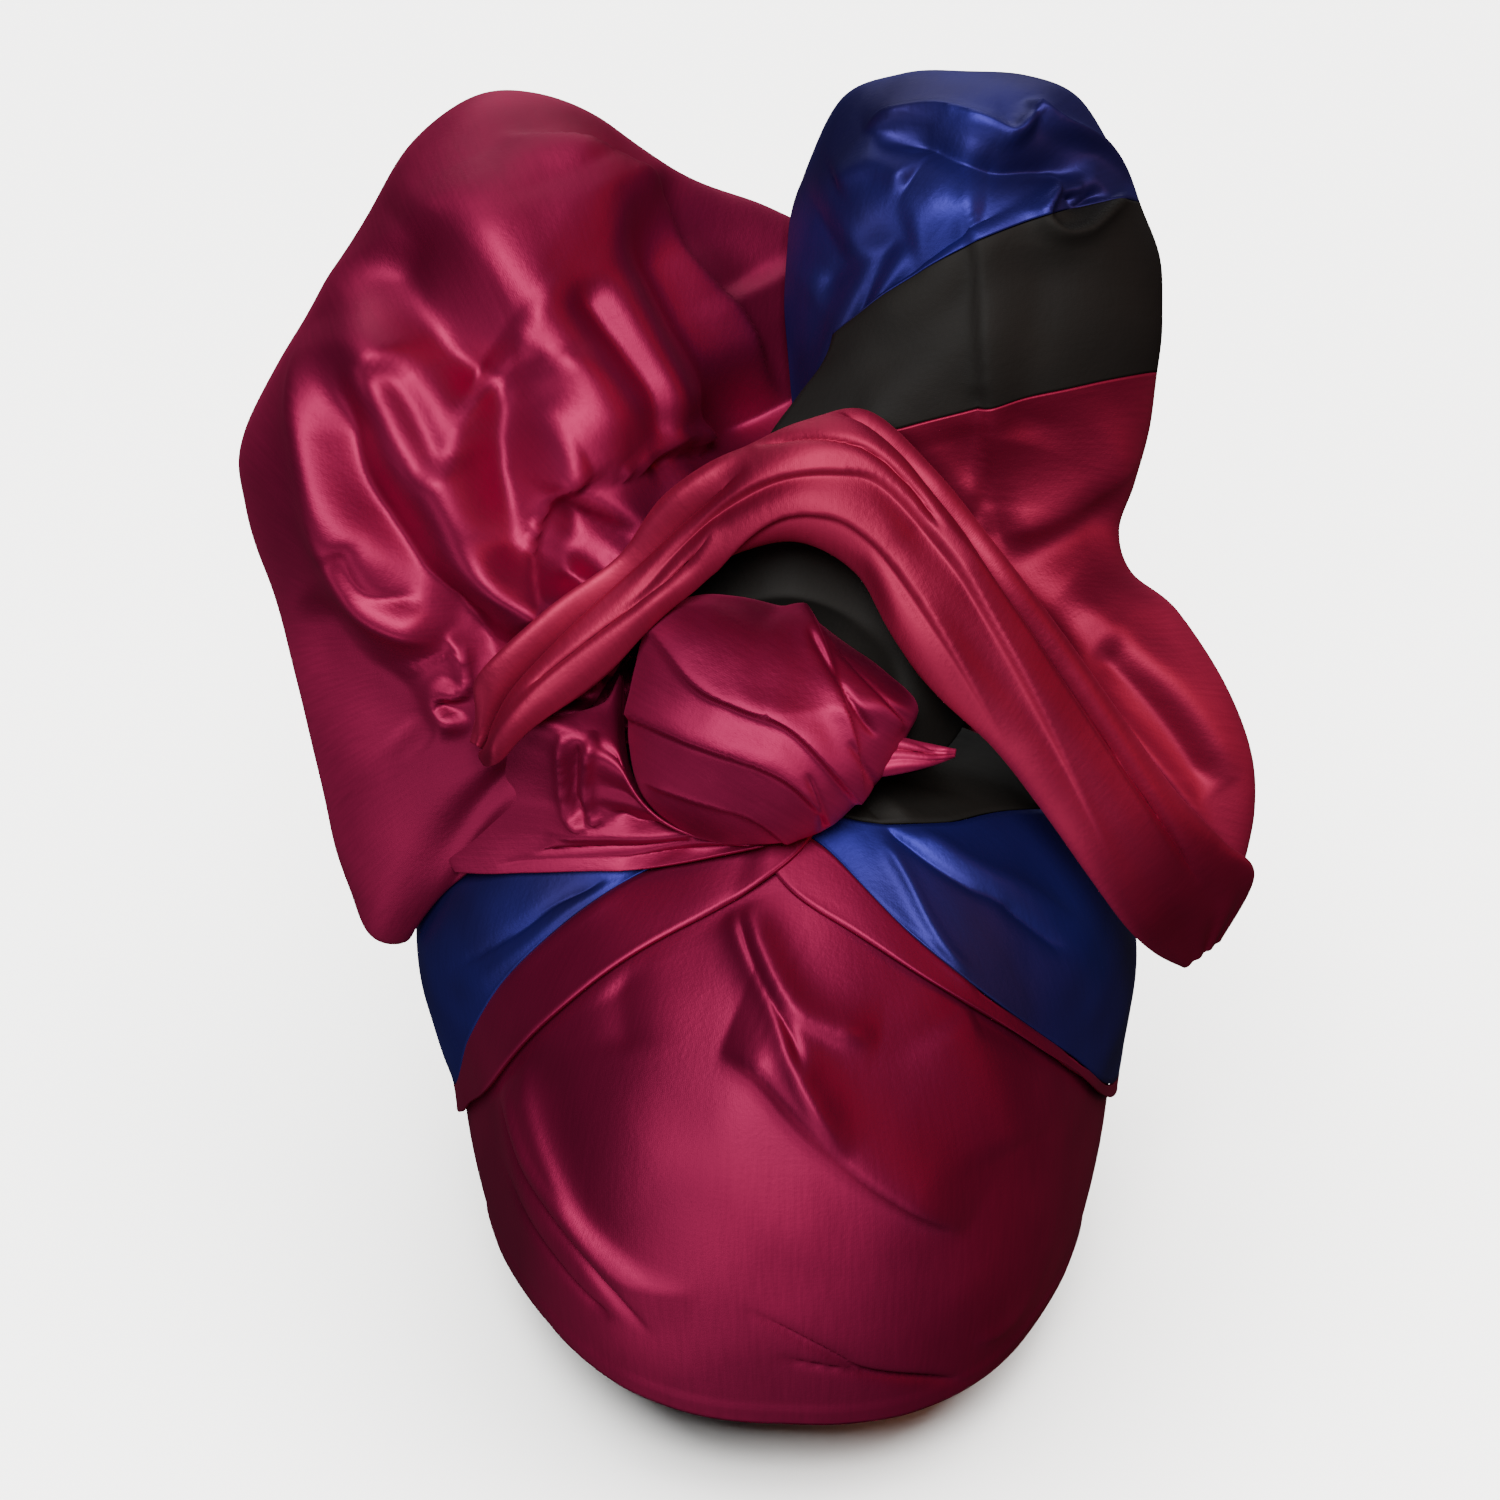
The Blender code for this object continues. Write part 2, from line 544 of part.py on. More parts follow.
def wound_piece(name, wound, folds, colour, collection):
    """A thick wound piece: a sphere primitive drawn to its size, creased, and seated on the crown."""
    bm = bmesh.new()
    bmesh.ops.create_uvsphere(bm, u_segments=WOUND_SEGMENTS, v_segments=WOUND_RINGS, radius=1.0)
    unit = np.array([v.co[:] for v in bm.verts])[:, [0, 2, 1]] * [1, 1, -1]
    power = wound["square"]
    unit /= np.sum(np.abs(unit) ** power, axis=-1, keepdims=True) ** (1 / power)
    plane = unit * np.array(wound["half"])
    if wound is KNOT:
        slope = 1 - KNOT_SLOPE * ramp(unit[:, 0], -0.15, 1.0) * ramp(unit[:, 1], 0.0, 0.2)
        plane[:, 1] *= slope
    plane += wound["middle"]
    height = fold_height(plane[:, 0], plane[:, 1], folds) * ramp(unit[:, 2], 0.1, 0.5)
    turn = np.arctan2(unit[:, 2], unit[:, 0])
    if wound["pleats"]:
        height += PLEAT_DEPTH * np.cos(wound["pleats"] * turn) * (1 - unit[:, 1] ** 2)
    plane[:, 2] += height
    points = from_plane(plane[:, 0], plane[:, 1], plane[:, 2])
    if wound is NECK:
        points = clear_of_wound(points, KNOT, NECK_REST)
    points = clear_of_head(points, WOUND_REST)
    for vertex, point in zip(bm.verts, points):
        vertex.co = point * MM
    mesh = bpy.data.meshes.new(name)
    bm.to_mesh(mesh)
    bm.free()
    return new_object(name, mesh, colour, collection)


def main():
    for obj in list(bpy.data.objects):
        bpy.data.objects.remove(obj)
    wrap = bpy.data.collections.new("head_wrap")
    bpy.context.scene.collection.children.link(wrap)

    crown_cap(wrap)
    wound_piece("knot", KNOT, KNOT_FOLDS, "magenta", wrap)
    wound_piece("bow_neck", NECK, [], "black", wrap)
    for name, low, high, steps, colour in (
        ("band_hem", "hem", "seam", HEM_STEPS, "magenta"),
        ("band_blue", "seam", "blue_top", BLUE_STEPS, "blue"),
        ("band_black", "blue_top", "black_top", BLACK_STEPS, "black"),
    ):
        sheet(name, band_points(low, high, BAND_SEGMENTS, steps), colour, wrap)

    strands = np.linspace(0, 1, LEFT_STRANDS)
    left = fan_points(LEFT_LOOP, strands, LEFT_STATIONS, LEFT_LOOP_FOLDS, LEFT_GATHER)
    sheet("left_loop", left, "magenta", wrap)
    strands = np.concatenate([
        np.linspace(0, BLUE_ENDS, BLUE_STRANDS)[:-1],
        np.linspace(BLUE_ENDS, BLACK_ENDS, BLACK_STRANDS)[:-1],
        np.linspace(BLACK_ENDS, 1, RED_STRANDS),
    ])
    right = fan_points(RIGHT_LOOP, strands, RIGHT_STATIONS, RIGHT_FOLDS, RIGHT_GATHER)
    blue_last = BLUE_STRANDS - 1
    black_last = blue_last + BLACK_STRANDS - 1
    for name, panel, colour in (
        ("right_loop_blue", right[: blue_last + 1], "blue"),
        ("right_loop_black", right[blue_last : black_last + 1], "black"),
        ("right_loop_red", right[black_last:], "crimson"),
    ):
        sheet(name, inset_edges(panel, SEAM_GAP), colour, wrap)
    drape = sash_points(SASH, SASH_FOLDS, SASH_LENGTH_STEPS, SASH_WIDTH_STEPS)
    sheet("sash", drape, "crimson", wrap)
    tip = sash_points(KNOT_TIP, [], TIP_LENGTH_STEPS, TIP_WIDTH_STEPS, rest=TIP_REST)
    sheet("knot_tip", tip, "magenta", wrap, thickness=TIP_CLOTH)
    tail = fan_points(TAIL, np.linspace(0, 1, TAIL_STRANDS), TAIL_STATIONS, TAIL_FOLDS, TAIL_GATHER)
    sheet("tail", tail, "magenta", wrap)


main()
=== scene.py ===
import math

import bmesh
import bpy
import numpy as np
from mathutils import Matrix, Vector


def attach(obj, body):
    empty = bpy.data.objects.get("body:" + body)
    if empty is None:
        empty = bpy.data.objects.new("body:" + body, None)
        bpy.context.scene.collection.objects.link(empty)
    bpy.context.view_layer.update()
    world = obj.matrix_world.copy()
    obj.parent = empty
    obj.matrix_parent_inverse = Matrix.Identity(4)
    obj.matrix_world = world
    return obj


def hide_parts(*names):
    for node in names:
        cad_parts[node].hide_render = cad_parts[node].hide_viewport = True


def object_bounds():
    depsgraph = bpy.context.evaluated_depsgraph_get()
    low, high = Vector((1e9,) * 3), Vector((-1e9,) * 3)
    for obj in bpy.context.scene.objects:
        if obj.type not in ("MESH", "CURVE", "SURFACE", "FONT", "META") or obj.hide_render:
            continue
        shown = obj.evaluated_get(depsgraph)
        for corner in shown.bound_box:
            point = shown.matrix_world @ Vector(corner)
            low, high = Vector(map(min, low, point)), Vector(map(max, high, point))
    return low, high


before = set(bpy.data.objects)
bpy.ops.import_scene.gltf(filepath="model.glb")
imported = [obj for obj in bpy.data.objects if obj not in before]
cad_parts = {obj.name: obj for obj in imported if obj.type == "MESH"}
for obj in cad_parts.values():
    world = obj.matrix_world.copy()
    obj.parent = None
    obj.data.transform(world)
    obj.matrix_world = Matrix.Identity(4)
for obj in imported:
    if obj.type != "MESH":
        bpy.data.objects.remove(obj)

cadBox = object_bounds()
mm = 0.001

# The bow is drawn on a plane that leans back: across is +X, rise runs up that plane, proud stands out of it
leanAngle = 35.0
leanSin = math.sin(math.radians(leanAngle))
leanCos = math.cos(math.radians(leanAngle))

# The head's form that everything is wrapped round, in mm
head = {
    "crownHeight": 87.0,
    "halfWidth": 87.5,
    "frontLength": 102.5,
    "backLength": 108.0,
    "drop": 130.0,
    "roundness": 2.3,
    "taperLeft": 0.09,
    "taperRight": 0.075,
    "capWall": 2.0,
    "layerGap": 1.1,
    "cloth": 1.6,
}
headCentre = np.array([0.0, 0.0, head["capWall"] - head["crownHeight"]])


def linearColour(hexCode):
    # an sRGB hex value as linear red, green, blue and alpha
    channels = [int(hexCode[i:i + 2], 16) / 255 for i in (1, 3, 5)]
    return [c / 12.92 if c <= 0.04045 else ((c + 0.055) / 1.055) ** 2.4 for c in channels] + [1.0]


def addNode(tree, kind, settings=None, links=None):
    # settings are attributes or, where the name is a socket's, default values; links go to named sockets
    node = tree.nodes.new(kind)
    for name, value in (settings or {}).items():
        if hasattr(node, name):
            setattr(node, name, value)
        else:
            node.inputs[name].default_value = value
    for name, source in (links or {}).items():
        tree.links.new(source, node.inputs[name])
    return node


def smoothRows(rows, at):
    # reads a table between its rows on a smooth line through them, at runs from 0 to 1
    rows = np.asarray(rows, float)
    last = len(rows) - 1
    place = np.clip(np.asarray(at, float), 0, 1) * last
    index = np.minimum(place.astype(int), last - 1)
    f = (place - index)[..., None]
    before, start = rows[np.maximum(index - 1, 0)], rows[index]
    end, after = rows[index + 1], rows[np.minimum(index + 2, last)]
    bend = 2 * before - 5 * start + 4 * end - after
    turn = 3 * start - before - 3 * end + after
    return 0.5 * (2 * start + (end - before) * f + bend * f**2 + turn * f**3)


def ramp(value, low, high):
    f = np.clip((value - low) / (high - low), 0, 1)
    return f * f * (3 - 2 * f)


def fromPlane(across, rise, proud):
    return np.stack([
        across + 0 * rise,
        rise * leanSin - proud * leanCos,
        rise * leanCos + proud * leanSin,
    ], axis=-1)


def onPlane(points):
    x, y, z = points[..., 0], points[..., 1], points[..., 2]
    return x, y * leanSin + z * leanCos, z * leanSin - y * leanCos


def direction(azimuth, elevation):
    # unit direction from the head's centre, azimuth 0 is -Y and +90 is +X
    az, el = np.radians(azimuth), np.radians(elevation)
    return np.stack([np.sin(az) * np.cos(el), -np.cos(az) * np.cos(el), np.sin(el)], axis=-1)


def capRadius(unit):
    x, y, z = unit[..., 0], unit[..., 1], unit[..., 2]
    taper = head["taperLeft"] + (head["taperRight"] - head["taperLeft"]) * ramp(x, -0.2, 0.2)
    width = head["halfWidth"] * (1 - taper * ramp(-y, -0.1, 0.6))
    length = np.where(y < 0, head["frontLength"], head["backLength"])
    height = np.where(z > 0, head["crownHeight"], head["drop"])
    power = head["roundness"]
    total = np.abs(x / width) ** power + np.abs(y / length) ** power + np.abs(z / height) ** power
    return total ** (-1 / power)


# how every drawn fold is shaped: its crest is round for a share of its width, from leastRound on a sharp
# one to mostRound on one that is fullRound mm wide, and its flanks run out hollow
foldForm = {
    "pathSteps": 5,
    "reach": 4.5,
    "fullRound": 8,
    "leastRound": 0.3,
    "mostRound": 0.9,
    "flank": 0.7,
    "endFade": 0.2,
}


def foldHeight(across, rise, folds):
    # height of all the folds together; a fold is its height, its width on the left and right of its run,
    # and the places that the run goes through
    total = np.zeros_like(across)
    for height, left, right, path in folds:
        run = smoothRows(path, np.linspace(0, 1, foldForm["pathSteps"] * len(path)))
        reach = foldForm["reach"] * max(left, right)
        low, high = run.min(axis=0) - reach, run.max(axis=0) + reach
        near = (across > low[0]) & (across < high[0]) & (rise > low[1]) & (rise < high[1])
        if not near.any():
            continue
        a, r = across[near], rise[near]
        nearest = np.full(a.shape, np.inf)
        side = np.zeros_like(a)
        along = np.zeros_like(a)
        for step, (start, end) in enumerate(zip(run[:-1], run[1:])):
            span = end - start
            length = float(np.hypot(*span)) + 1e-9
            f = np.clip(((a - start[0]) * span[0] + (r - start[1]) * span[1]) / length**2, 0, 1)
            da, dr = a - start[0] - f * span[0], r - start[1] - f * span[1]
            away = np.hypot(da, dr)
            closer = away < nearest
            nearest = np.where(closer, away, nearest)
            side = np.where(closer, span[0] * dr - span[1] * da, side)
            along = np.where(closer, (step + f) / (len(run) - 1), along)
        width = np.where(side > 0, left, right)
        tip = width * np.clip(width / foldForm["fullRound"], foldForm["leastRound"], foldForm["mostRound"])
        profile = np.exp((tip - np.sqrt(nearest**2 + tip**2)) / (foldForm["flank"] * width))
        ends = ramp(along, 0, foldForm["endFade"]) * ramp(1 - along, 0, foldForm["endFade"])
        total[near] += height * profile * ends
    return total


def crumple(a, b, size, seed):
    # soft unevenness of slack cloth, from -1 to 1: a few bent waves at fixed random angles
    chance = np.random.default_rng(seed)
    total = np.zeros_like(a)
    for _ in range(7):
        angle, phase, bentBy = chance.uniform(0, 2 * math.pi, 3)
        length = size * chance.uniform(0.55, 1.7)
        along = (a * math.cos(angle) + b * math.sin(angle)) / length
        beside = (b * math.cos(angle) - a * math.sin(angle)) / (2.3 * length)
        total += np.sin(2 * math.pi * along + phase + 1.4 * np.sin(2 * math.pi * beside + bentBy))
    return total / 7


def surfaceNormals(grid, towards=None):
    along = np.gradient(grid, axis=0)
    across = np.gradient(grid, axis=1)
    normal = np.cross(along, across)
    normal /= np.maximum(np.linalg.norm(normal, axis=-1, keepdims=True), 1e-9)
    if towards is not None and np.sum(normal * towards) < 0:
        normal = -normal
    return normal


# materials

# sizes in the satin, in metres
satin = {
    "driftSize": 0.06,
    "slubLength": 0.014,
    "slubWidth": 0.0009,
    "slubShade": 0.03,
    "threadGap": 0.0005,
    "wrinkleSize": 0.011,
    "yarnSize": 0.0012,
    "yarnHeight": 0.00012,
    "threadHeight": 0.00003,
    "glossSpread": 0.015,
}


def satinCloth(name, look):
    # polyester satin, woven: long floats give a broad coloured gloss that stretches along the threads
    material = bpy.data.materials.new(name)
    material.use_nodes = True
    tree = material.node_tree
    tree.nodes.clear()
    place = addNode(tree, "ShaderNodeTexCoord")
    cloth = addNode(tree, "ShaderNodeUVMap", {"uv_map": "cloth"})
    # dyed satin shifts a little in shade from place to place, over about 60 mm
    drift = addNode(
        tree, "ShaderNodeTexNoise", {"Scale": 1 / satin["driftSize"], "Detail": 2.0, "Roughness": 0.5},
        {"Vector": place.outputs["Object"]},
    )
    shade = addNode(tree, "ShaderNodeValToRGB", None, {"Fac": drift.outputs["Fac"]})
    shade.color_ramp.elements[0].position = 0.36
    shade.color_ramp.elements[0].color = linearColour(look["deep"])
    shade.color_ramp.elements[1].position = 0.66
    shade.color_ramp.elements[1].color = linearColour(look["light"])
    # slubs: a slightly thicker thread here and there, 0.9 mm wide and 14 mm long
    slubPlace = addNode(
        tree, "ShaderNodeMapping",
        {"Scale": Vector((1 / satin["slubLength"], 1 / satin["slubWidth"], 1.0))},
        {"Vector": cloth.outputs["UV"]},
    )
    slub = addNode(
        tree, "ShaderNodeTexNoise", {"Scale": 1.0, "Detail": 2.0}, {"Vector": slubPlace.outputs["Vector"]}
    )
    slubShade = addNode(
        tree, "ShaderNodeMapRange",
        {
            "From Min": 0.35, "From Max": 0.65,
            "To Min": 1 - satin["slubShade"], "To Max": 1 + satin["slubShade"],
        },
        {"Value": slub.outputs["Fac"]},
    )
    colour = addNode(tree, "ShaderNodeMix", {"data_type": "RGBA", "blend_type": "MULTIPLY"})
    colour.inputs["Factor"].default_value = 1.0
    tree.links.new(shade.outputs["Color"], colour.inputs["A"])
    tree.links.new(slubShade.outputs["Result"], colour.inputs["B"])
    # threads are 0.15 mm apart in real satin, drawn 0.5 mm apart so that they show at all; one wave of
    # this texture is 0.314 long at scale 1
    threadScale = 0.314 / satin["threadGap"]
    warp = addNode(
        tree, "ShaderNodeTexWave", {"bands_direction": "Y", "Scale": threadScale, "Distortion": 0.6},
        {"Vector": cloth.outputs["UV"]},
    )
    weft = addNode(
        tree, "ShaderNodeTexWave", {"bands_direction": "X", "Scale": threadScale / 4, "Distortion": 1.2},
        {"Vector": cloth.outputs["UV"]},
    )
    weave = addNode(
        tree, "ShaderNodeMath", {"operation": "MULTIPLY"},
        {0: warp.outputs["Fac"], 1: weft.outputs["Fac"]},
    )
    wrinkle = addNode(
        tree, "ShaderNodeTexNoise",
        {"Scale": 1 / satin["wrinkleSize"], "Detail": 4.0, "Roughness": 0.45, "Distortion": 0.5},
        {"Vector": place.outputs["Object"]},
    )
    wrinkleBump = addNode(
        tree, "ShaderNodeBump", {"Strength": 1.0, "Distance": look["wrinkle"]},
        {"Height": wrinkle.outputs["Fac"]},
    )
    # uneven yarn, drawn 1.2 mm coarse: it roughens the edge of each highlight as woven threads do
    yarn = addNode(
        tree, "ShaderNodeTexNoise", {"Scale": 1 / satin["yarnSize"], "Detail": 2.0, "Roughness": 0.6},
        {"Vector": place.outputs["Object"]},
    )
    yarnBump = addNode(
        tree, "ShaderNodeBump", {"Strength": 0.5, "Distance": satin["yarnHeight"]},
        {"Height": yarn.outputs["Fac"], "Normal": wrinkleBump.outputs["Normal"]},
    )
    slubBump = addNode(
        tree, "ShaderNodeBump", {"Strength": 0.15, "Distance": satin["threadHeight"]},
        {"Height": slub.outputs["Fac"], "Normal": yarnBump.outputs["Normal"]},
    )
    weaveBump = addNode(
        tree, "ShaderNodeBump", {"Strength": 0.2, "Distance": satin["threadHeight"]},
        {"Height": weave.outputs["Value"], "Normal": slubBump.outputs["Normal"]},
    )
    gloss = addNode(
        tree, "ShaderNodeMapRange",
        {
            "From Min": 0.3, "From Max": 0.7,
            "To Min": look["rough"] - satin["glossSpread"], "To Max": look["rough"] + satin["glossSpread"],
        },
        {"Value": slub.outputs["Fac"]},
    )
    tangent = addNode(tree, "ShaderNodeTangent", {"direction_type": "UV_MAP", "uv_map": "cloth"})
    shader = addNode(
        tree, "ShaderNodeBsdfPrincipled",
        {
            "Metallic": look["metal"], "Anisotropic": look["stretch"], "Sheen Weight": look["sheen"],
            "Sheen Roughness": 0.5, "Sheen Tint": linearColour(look["light"]), "IOR": 1.5,
            "Specular IOR Level": 0.25,
        },
        {
            "Base Color": colour.outputs["Result"], "Roughness": gloss.outputs["Result"],
            "Normal": weaveBump.outputs["Normal"], "Tangent": tangent.outputs["Tangent"],
        },
    )
    addNode(tree, "ShaderNodeOutputMaterial", None, {"Surface": shader.outputs["BSDF"]})
    return material


magentaSatin = satinCloth("magenta_polyester_satin_woven", {
    "deep": "#841a41", "light": "#a52452", "rough": 0.58, "metal": 0.82, "stretch": 0.6, "sheen": 0.08,
    "wrinkle": 0.00014,
})
crimsonSatin = satinCloth("crimson_polyester_satin_woven", {
    "deep": "#861b3a", "light": "#a8284c", "rough": 0.58, "metal": 0.8, "stretch": 0.6, "sheen": 0.08,
    "wrinkle": 0.00014,
})
blueSatin = satinCloth("blue_polyester_satin_woven", {
    "deep": "#28215a", "light": "#302e8c", "rough": 0.52, "metal": 0.7, "stretch": 0.55, "sheen": 0.06,
    "wrinkle": 0.0002,
})
blackSatin = satinCloth("black_viscose_satin_woven", {
    "deep": "#13110f", "light": "#1c1916", "rough": 0.74, "metal": 0.0, "stretch": 0.2, "sheen": 0.05,
    "wrinkle": 0.00025,
})
print("materials made")


# mesh helpers


def gridPiece(name, points, material, wall=0.0, wrap=False, flip=False, merge=False, grain=None):
    # one sheet from a grid of points in mm, with a UV map in metres along and across its threads; grain
    # is an angle on the drawing plane that the threads run at, where they don't follow the grid
    rows, cols = points.shape[:2]
    i, j = np.meshgrid(np.arange(rows if wrap else rows - 1), np.arange(cols - 1), indexing="ij")
    nextI = (i + 1) % rows
    corners = np.stack([i * cols + j, nextI * cols + j, nextI * cols + j + 1, i * cols + j + 1], axis=-1)
    uvI = np.stack([i, i + 1, i + 1, i], axis=-1)
    uvJ = np.stack([j, j, j + 1, j + 1], axis=-1)
    if flip:
        corners, uvI, uvJ = corners[..., ::-1], uvI[..., ::-1], uvJ[..., ::-1]
    mesh = bpy.data.meshes.new(name)
    mesh.from_pydata((points.reshape(-1, 3) * mm).tolist(), [], corners.reshape(-1, 4).tolist())
    closed = np.concatenate([points, points[:1]]) if wrap else points
    if grain is None:
        lengthSteps = np.linalg.norm(np.diff(closed, axis=1), axis=-1).mean(axis=0)
        widthSteps = np.linalg.norm(np.diff(closed, axis=0), axis=-1)
        widthSteps = widthSteps[:, cols // 4:-cols // 4].mean(axis=1)
        along = np.concatenate([[0.0], np.cumsum(lengthSteps)]) * mm
        beside = np.concatenate([[0.0], np.cumsum(widthSteps)]) * mm
        uv = np.stack([along[uvJ], beside[uvI]], axis=-1)
    else:
        across, rise, _ = onPlane(closed)
        run = math.radians(grain)
        threads = np.stack([
            across * math.cos(run) + rise * math.sin(run), rise * math.cos(run) - across * math.sin(run)
        ], axis=-1) * mm
        uv = threads[uvI, uvJ]
    layer = mesh.uv_layers.new(name="cloth")
    layer.data.foreach_set("uv", uv.ravel())
    if merge:
        work = bmesh.new()
        work.from_mesh(mesh)
        bmesh.ops.remove_doubles(work, verts=work.verts, dist=1e-6)
        work.to_mesh(mesh)
        work.free()
    mesh.shade_smooth()
    mesh.materials.append(material)
    piece = bpy.data.objects.new(name, mesh)
    bpy.context.scene.collection.objects.link(piece)
    if wall:
        thick = piece.modifiers.new("clothWall", "SOLIDIFY")
        thick.thickness = wall * mm
        thick.offset = 0.0
        thick.use_quality_normals = True
    return piece


def finishPiece(piece, node):
    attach(piece, "root")
    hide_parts(node)


# band round the head: azimuth, then the elevations of hem, seam, blue top and black top, then its swell
band = {
    "rows": [
        (34, 78, 82, 85, 89, 1.0),
        (6, 65, 76, 82, 89, 1.0),
        (-18, 53, 67, 75, 88, 2.0),
        (-33, 43, 61, 73, 87, 4.0),
        (-46, 28, 52, 68, 86, 7.0),
        (-61, 7.3, 30, 62, 84, 11.0),
        (-72, -4, 10, 55, 82, 14.0),
        (-84, -15, -9, 46, 80, 14.0),
        (-110, -27, -20, 30, 68, 9.0),
        (-145, -36, -29, 12, 48, 5.0),
        (-180, -40, -33, 5, 38, 4.0),
        (-215, -36, -29, 12, 48, 4.0),
        (-250, -23, -17, 32, 68, 5.0),
        (-283, -6.5, -3.5, 53, 80, 6.5),
        (-305, 14.7, 17.5, 60, 84, 6.0),
        (-320, 29.3, 33, 64, 86, 5.0),
        (-332, 39.8, 47, 68, 87, 3.0),
        (-345, 49.7, 64, 73, 88, 2.0),
        (-361, 58.5, 71, 78, 88, 1.0),
        (-374, 68, 77, 82, 89, 1.0),
    ],
    "steps": 390,
    "hemSteps": 14,
    "blueSteps": 40,
    "blackSteps": 22,
    "wall": 1.0,
    "seamGap": 0.35,
    "crossLift": 1.6,
    "slack": {"height": 0.7, "size": 26, "seed": 8},
    "folds": [
        (-1.8, 1.6, 1.6, [(-46, -30), (-59, -36), (-72, -45), (-92, -56)]),
        (1.6, 3.5, 3.5, [(-40, -32), (-56, -41), (-70, -51), (-88, -62)]),
        (-1.8, 1.6, 1.6, [(19, -10), (29, -20), (45, -31), (55, -36), (76, -51)]),
        (1.8, 3.0, 3.0, [(20, -6), (33, -17), (48, -27), (62, -34), (80, -46)]),
        (-1.2, 1.5, 1.5, [(55, -36), (63, -42), (71, -49)]),
        (1.6, 3.0, 2.0, [(24, -20), (30, -30), (36, -42), (48, -60)]),
    ],
}
bandTable = np.array(band["rows"], float)
hemLine = (bandTable[::-1, 0], bandTable[::-1, 1])


def bandRise(share):
    return np.sin(np.pi * np.clip(share, 0, 1)) ** 1.3


def bandOutside(azimuth, elevation):
    # how far the band's outside stands off the covering, 0 where there is no band
    turned = np.where(azimuth > bandTable[0, 0], azimuth - 360, azimuth)
    hem, seam, blueTop, blackTop, puff = (
        np.interp(turned, bandTable[::-1, 0], bandTable[::-1, i]) for i in range(1, 6)
    )
    share = (elevation - seam) / np.maximum(blackTop - seam, 1)
    inside = ramp(elevation, hem - 6, hem - 1)
    return inside * (head["layerGap"] + head["cloth"] + puff * bandRise(share))


def clearOfHead(points, clearance):
    away = points - headCentre
    distance = np.linalg.norm(away, axis=-1)
    unit = away / distance[..., None]
    azimuth = np.degrees(np.arctan2(unit[..., 0], -unit[..., 1]))
    elevation = np.degrees(np.arcsin(np.clip(unit[..., 2], -1, 1)))
    least = capRadius(unit) + bandOutside(azimuth, elevation) + clearance
    soft = 4.0
    gap = distance - least
    pushed = least + soft * np.log1p(np.exp(np.clip(gap / soft, -30, 30)))
    lifted = np.where(gap > 5 * soft, distance, pushed)
    return headCentre + unit * lifted[..., None]


# thick wound cloth: middle and half sizes as across, rise, proud
knot = {
    "middle": (-5.5, 12.0, 39.5),
    "half": (36.0, 31.0, 28.0),
    "square": 2.5,
    # its edge as drawn, across and rise, counter-clockwise from the right corner
    "outline": [
        (33, 14.5), (26, 22), (15, 30), (4, 37.5), (-12, 42), (-25, 42), (-34, 37), (-39, 24), (-40.5, 8),
        (-38, -6), (-31, -15), (-19, -20.5), (-4, -21), (8, -18), (17, -11), (25, -2), (30, 6),
    ],
    "grain": -32,
    "around": 280,
    "down": 145,
    "pleats": 0,
    "slackSeed": 21,
    "clearance": 0.8,
    "folds": [
        (2.6, 6.0, 0.7, [(-40, 36), (-34, 32), (-23, 19), (-12, 13.5), (1, 8), (16, -8), (22, -16)]),
        (2.6, 6.0, 0.7, [(-46, 14), (-38, 11), (-23, 4.5), (-7, -1), (3, -7), (14, -20)]),
        (2.2, 0.7, 5.0, [(-2, 42), (4, 36), (11, 22), (16, 6), (18, -8)]),
        (2.4, 0.7, 4.0, [(2, 41), (8, 32), (22, 16), (30, 8)]),
        (-1.6, 0.9, 0.9, [(4, 33), (12, 20), (22, 6)]),
        (-1.4, 0.9, 0.9, [(10, 30), (20, 20), (32, 9)]),
        (-1.2, 1.0, 1.0, [(4, -2), (8, -12), (9, -22)]),
        (1.8, 4.0, 0.7, [(-38, -4), (-24, -9), (-8, -14), (4, -24)]),
        (-1.2, 1.0, 1.0, [(14, 6), (20, -3), (24, -8)]),
    ],
}
neck = {
    "middle": (8.0, 29.0, 8.0),
    "half": (42.0, 39.0, 17.0),
    "square": 2.2,
    "grain": 78,
    "around": 130,
    "down": 84,
    "pleats": 7,
    "slackSeed": 22,
    "clearance": 0.8,
    "knotClearance": 1.5,
    "folds": [],
}


def clearOfWound(points, wound, clearance):
    middle = fromPlane(*np.array(wound["middle"]))
    away = points - middle
    half = np.array(wound["half"]) + clearance
    plane = np.abs(np.stack(onPlane(away), axis=-1)) / half
    reach = np.maximum(np.sum(plane ** wound["square"], axis=-1) ** (1 / wound["square"]), 1e-6)
    soft = 0.03
    gap = reach - 1
    pushed = 1 + soft * np.log1p(np.exp(np.clip(gap / soft, -30, 30)))
    return middle + away * (np.where(gap > 5 * soft, reach, pushed) / reach)[..., None]


def seated(points, clearance):
    points = clearOfWound(points, knot, clearance)
    points = clearOfWound(points, neck, clearance)
    return clearOfHead(points, clearance)


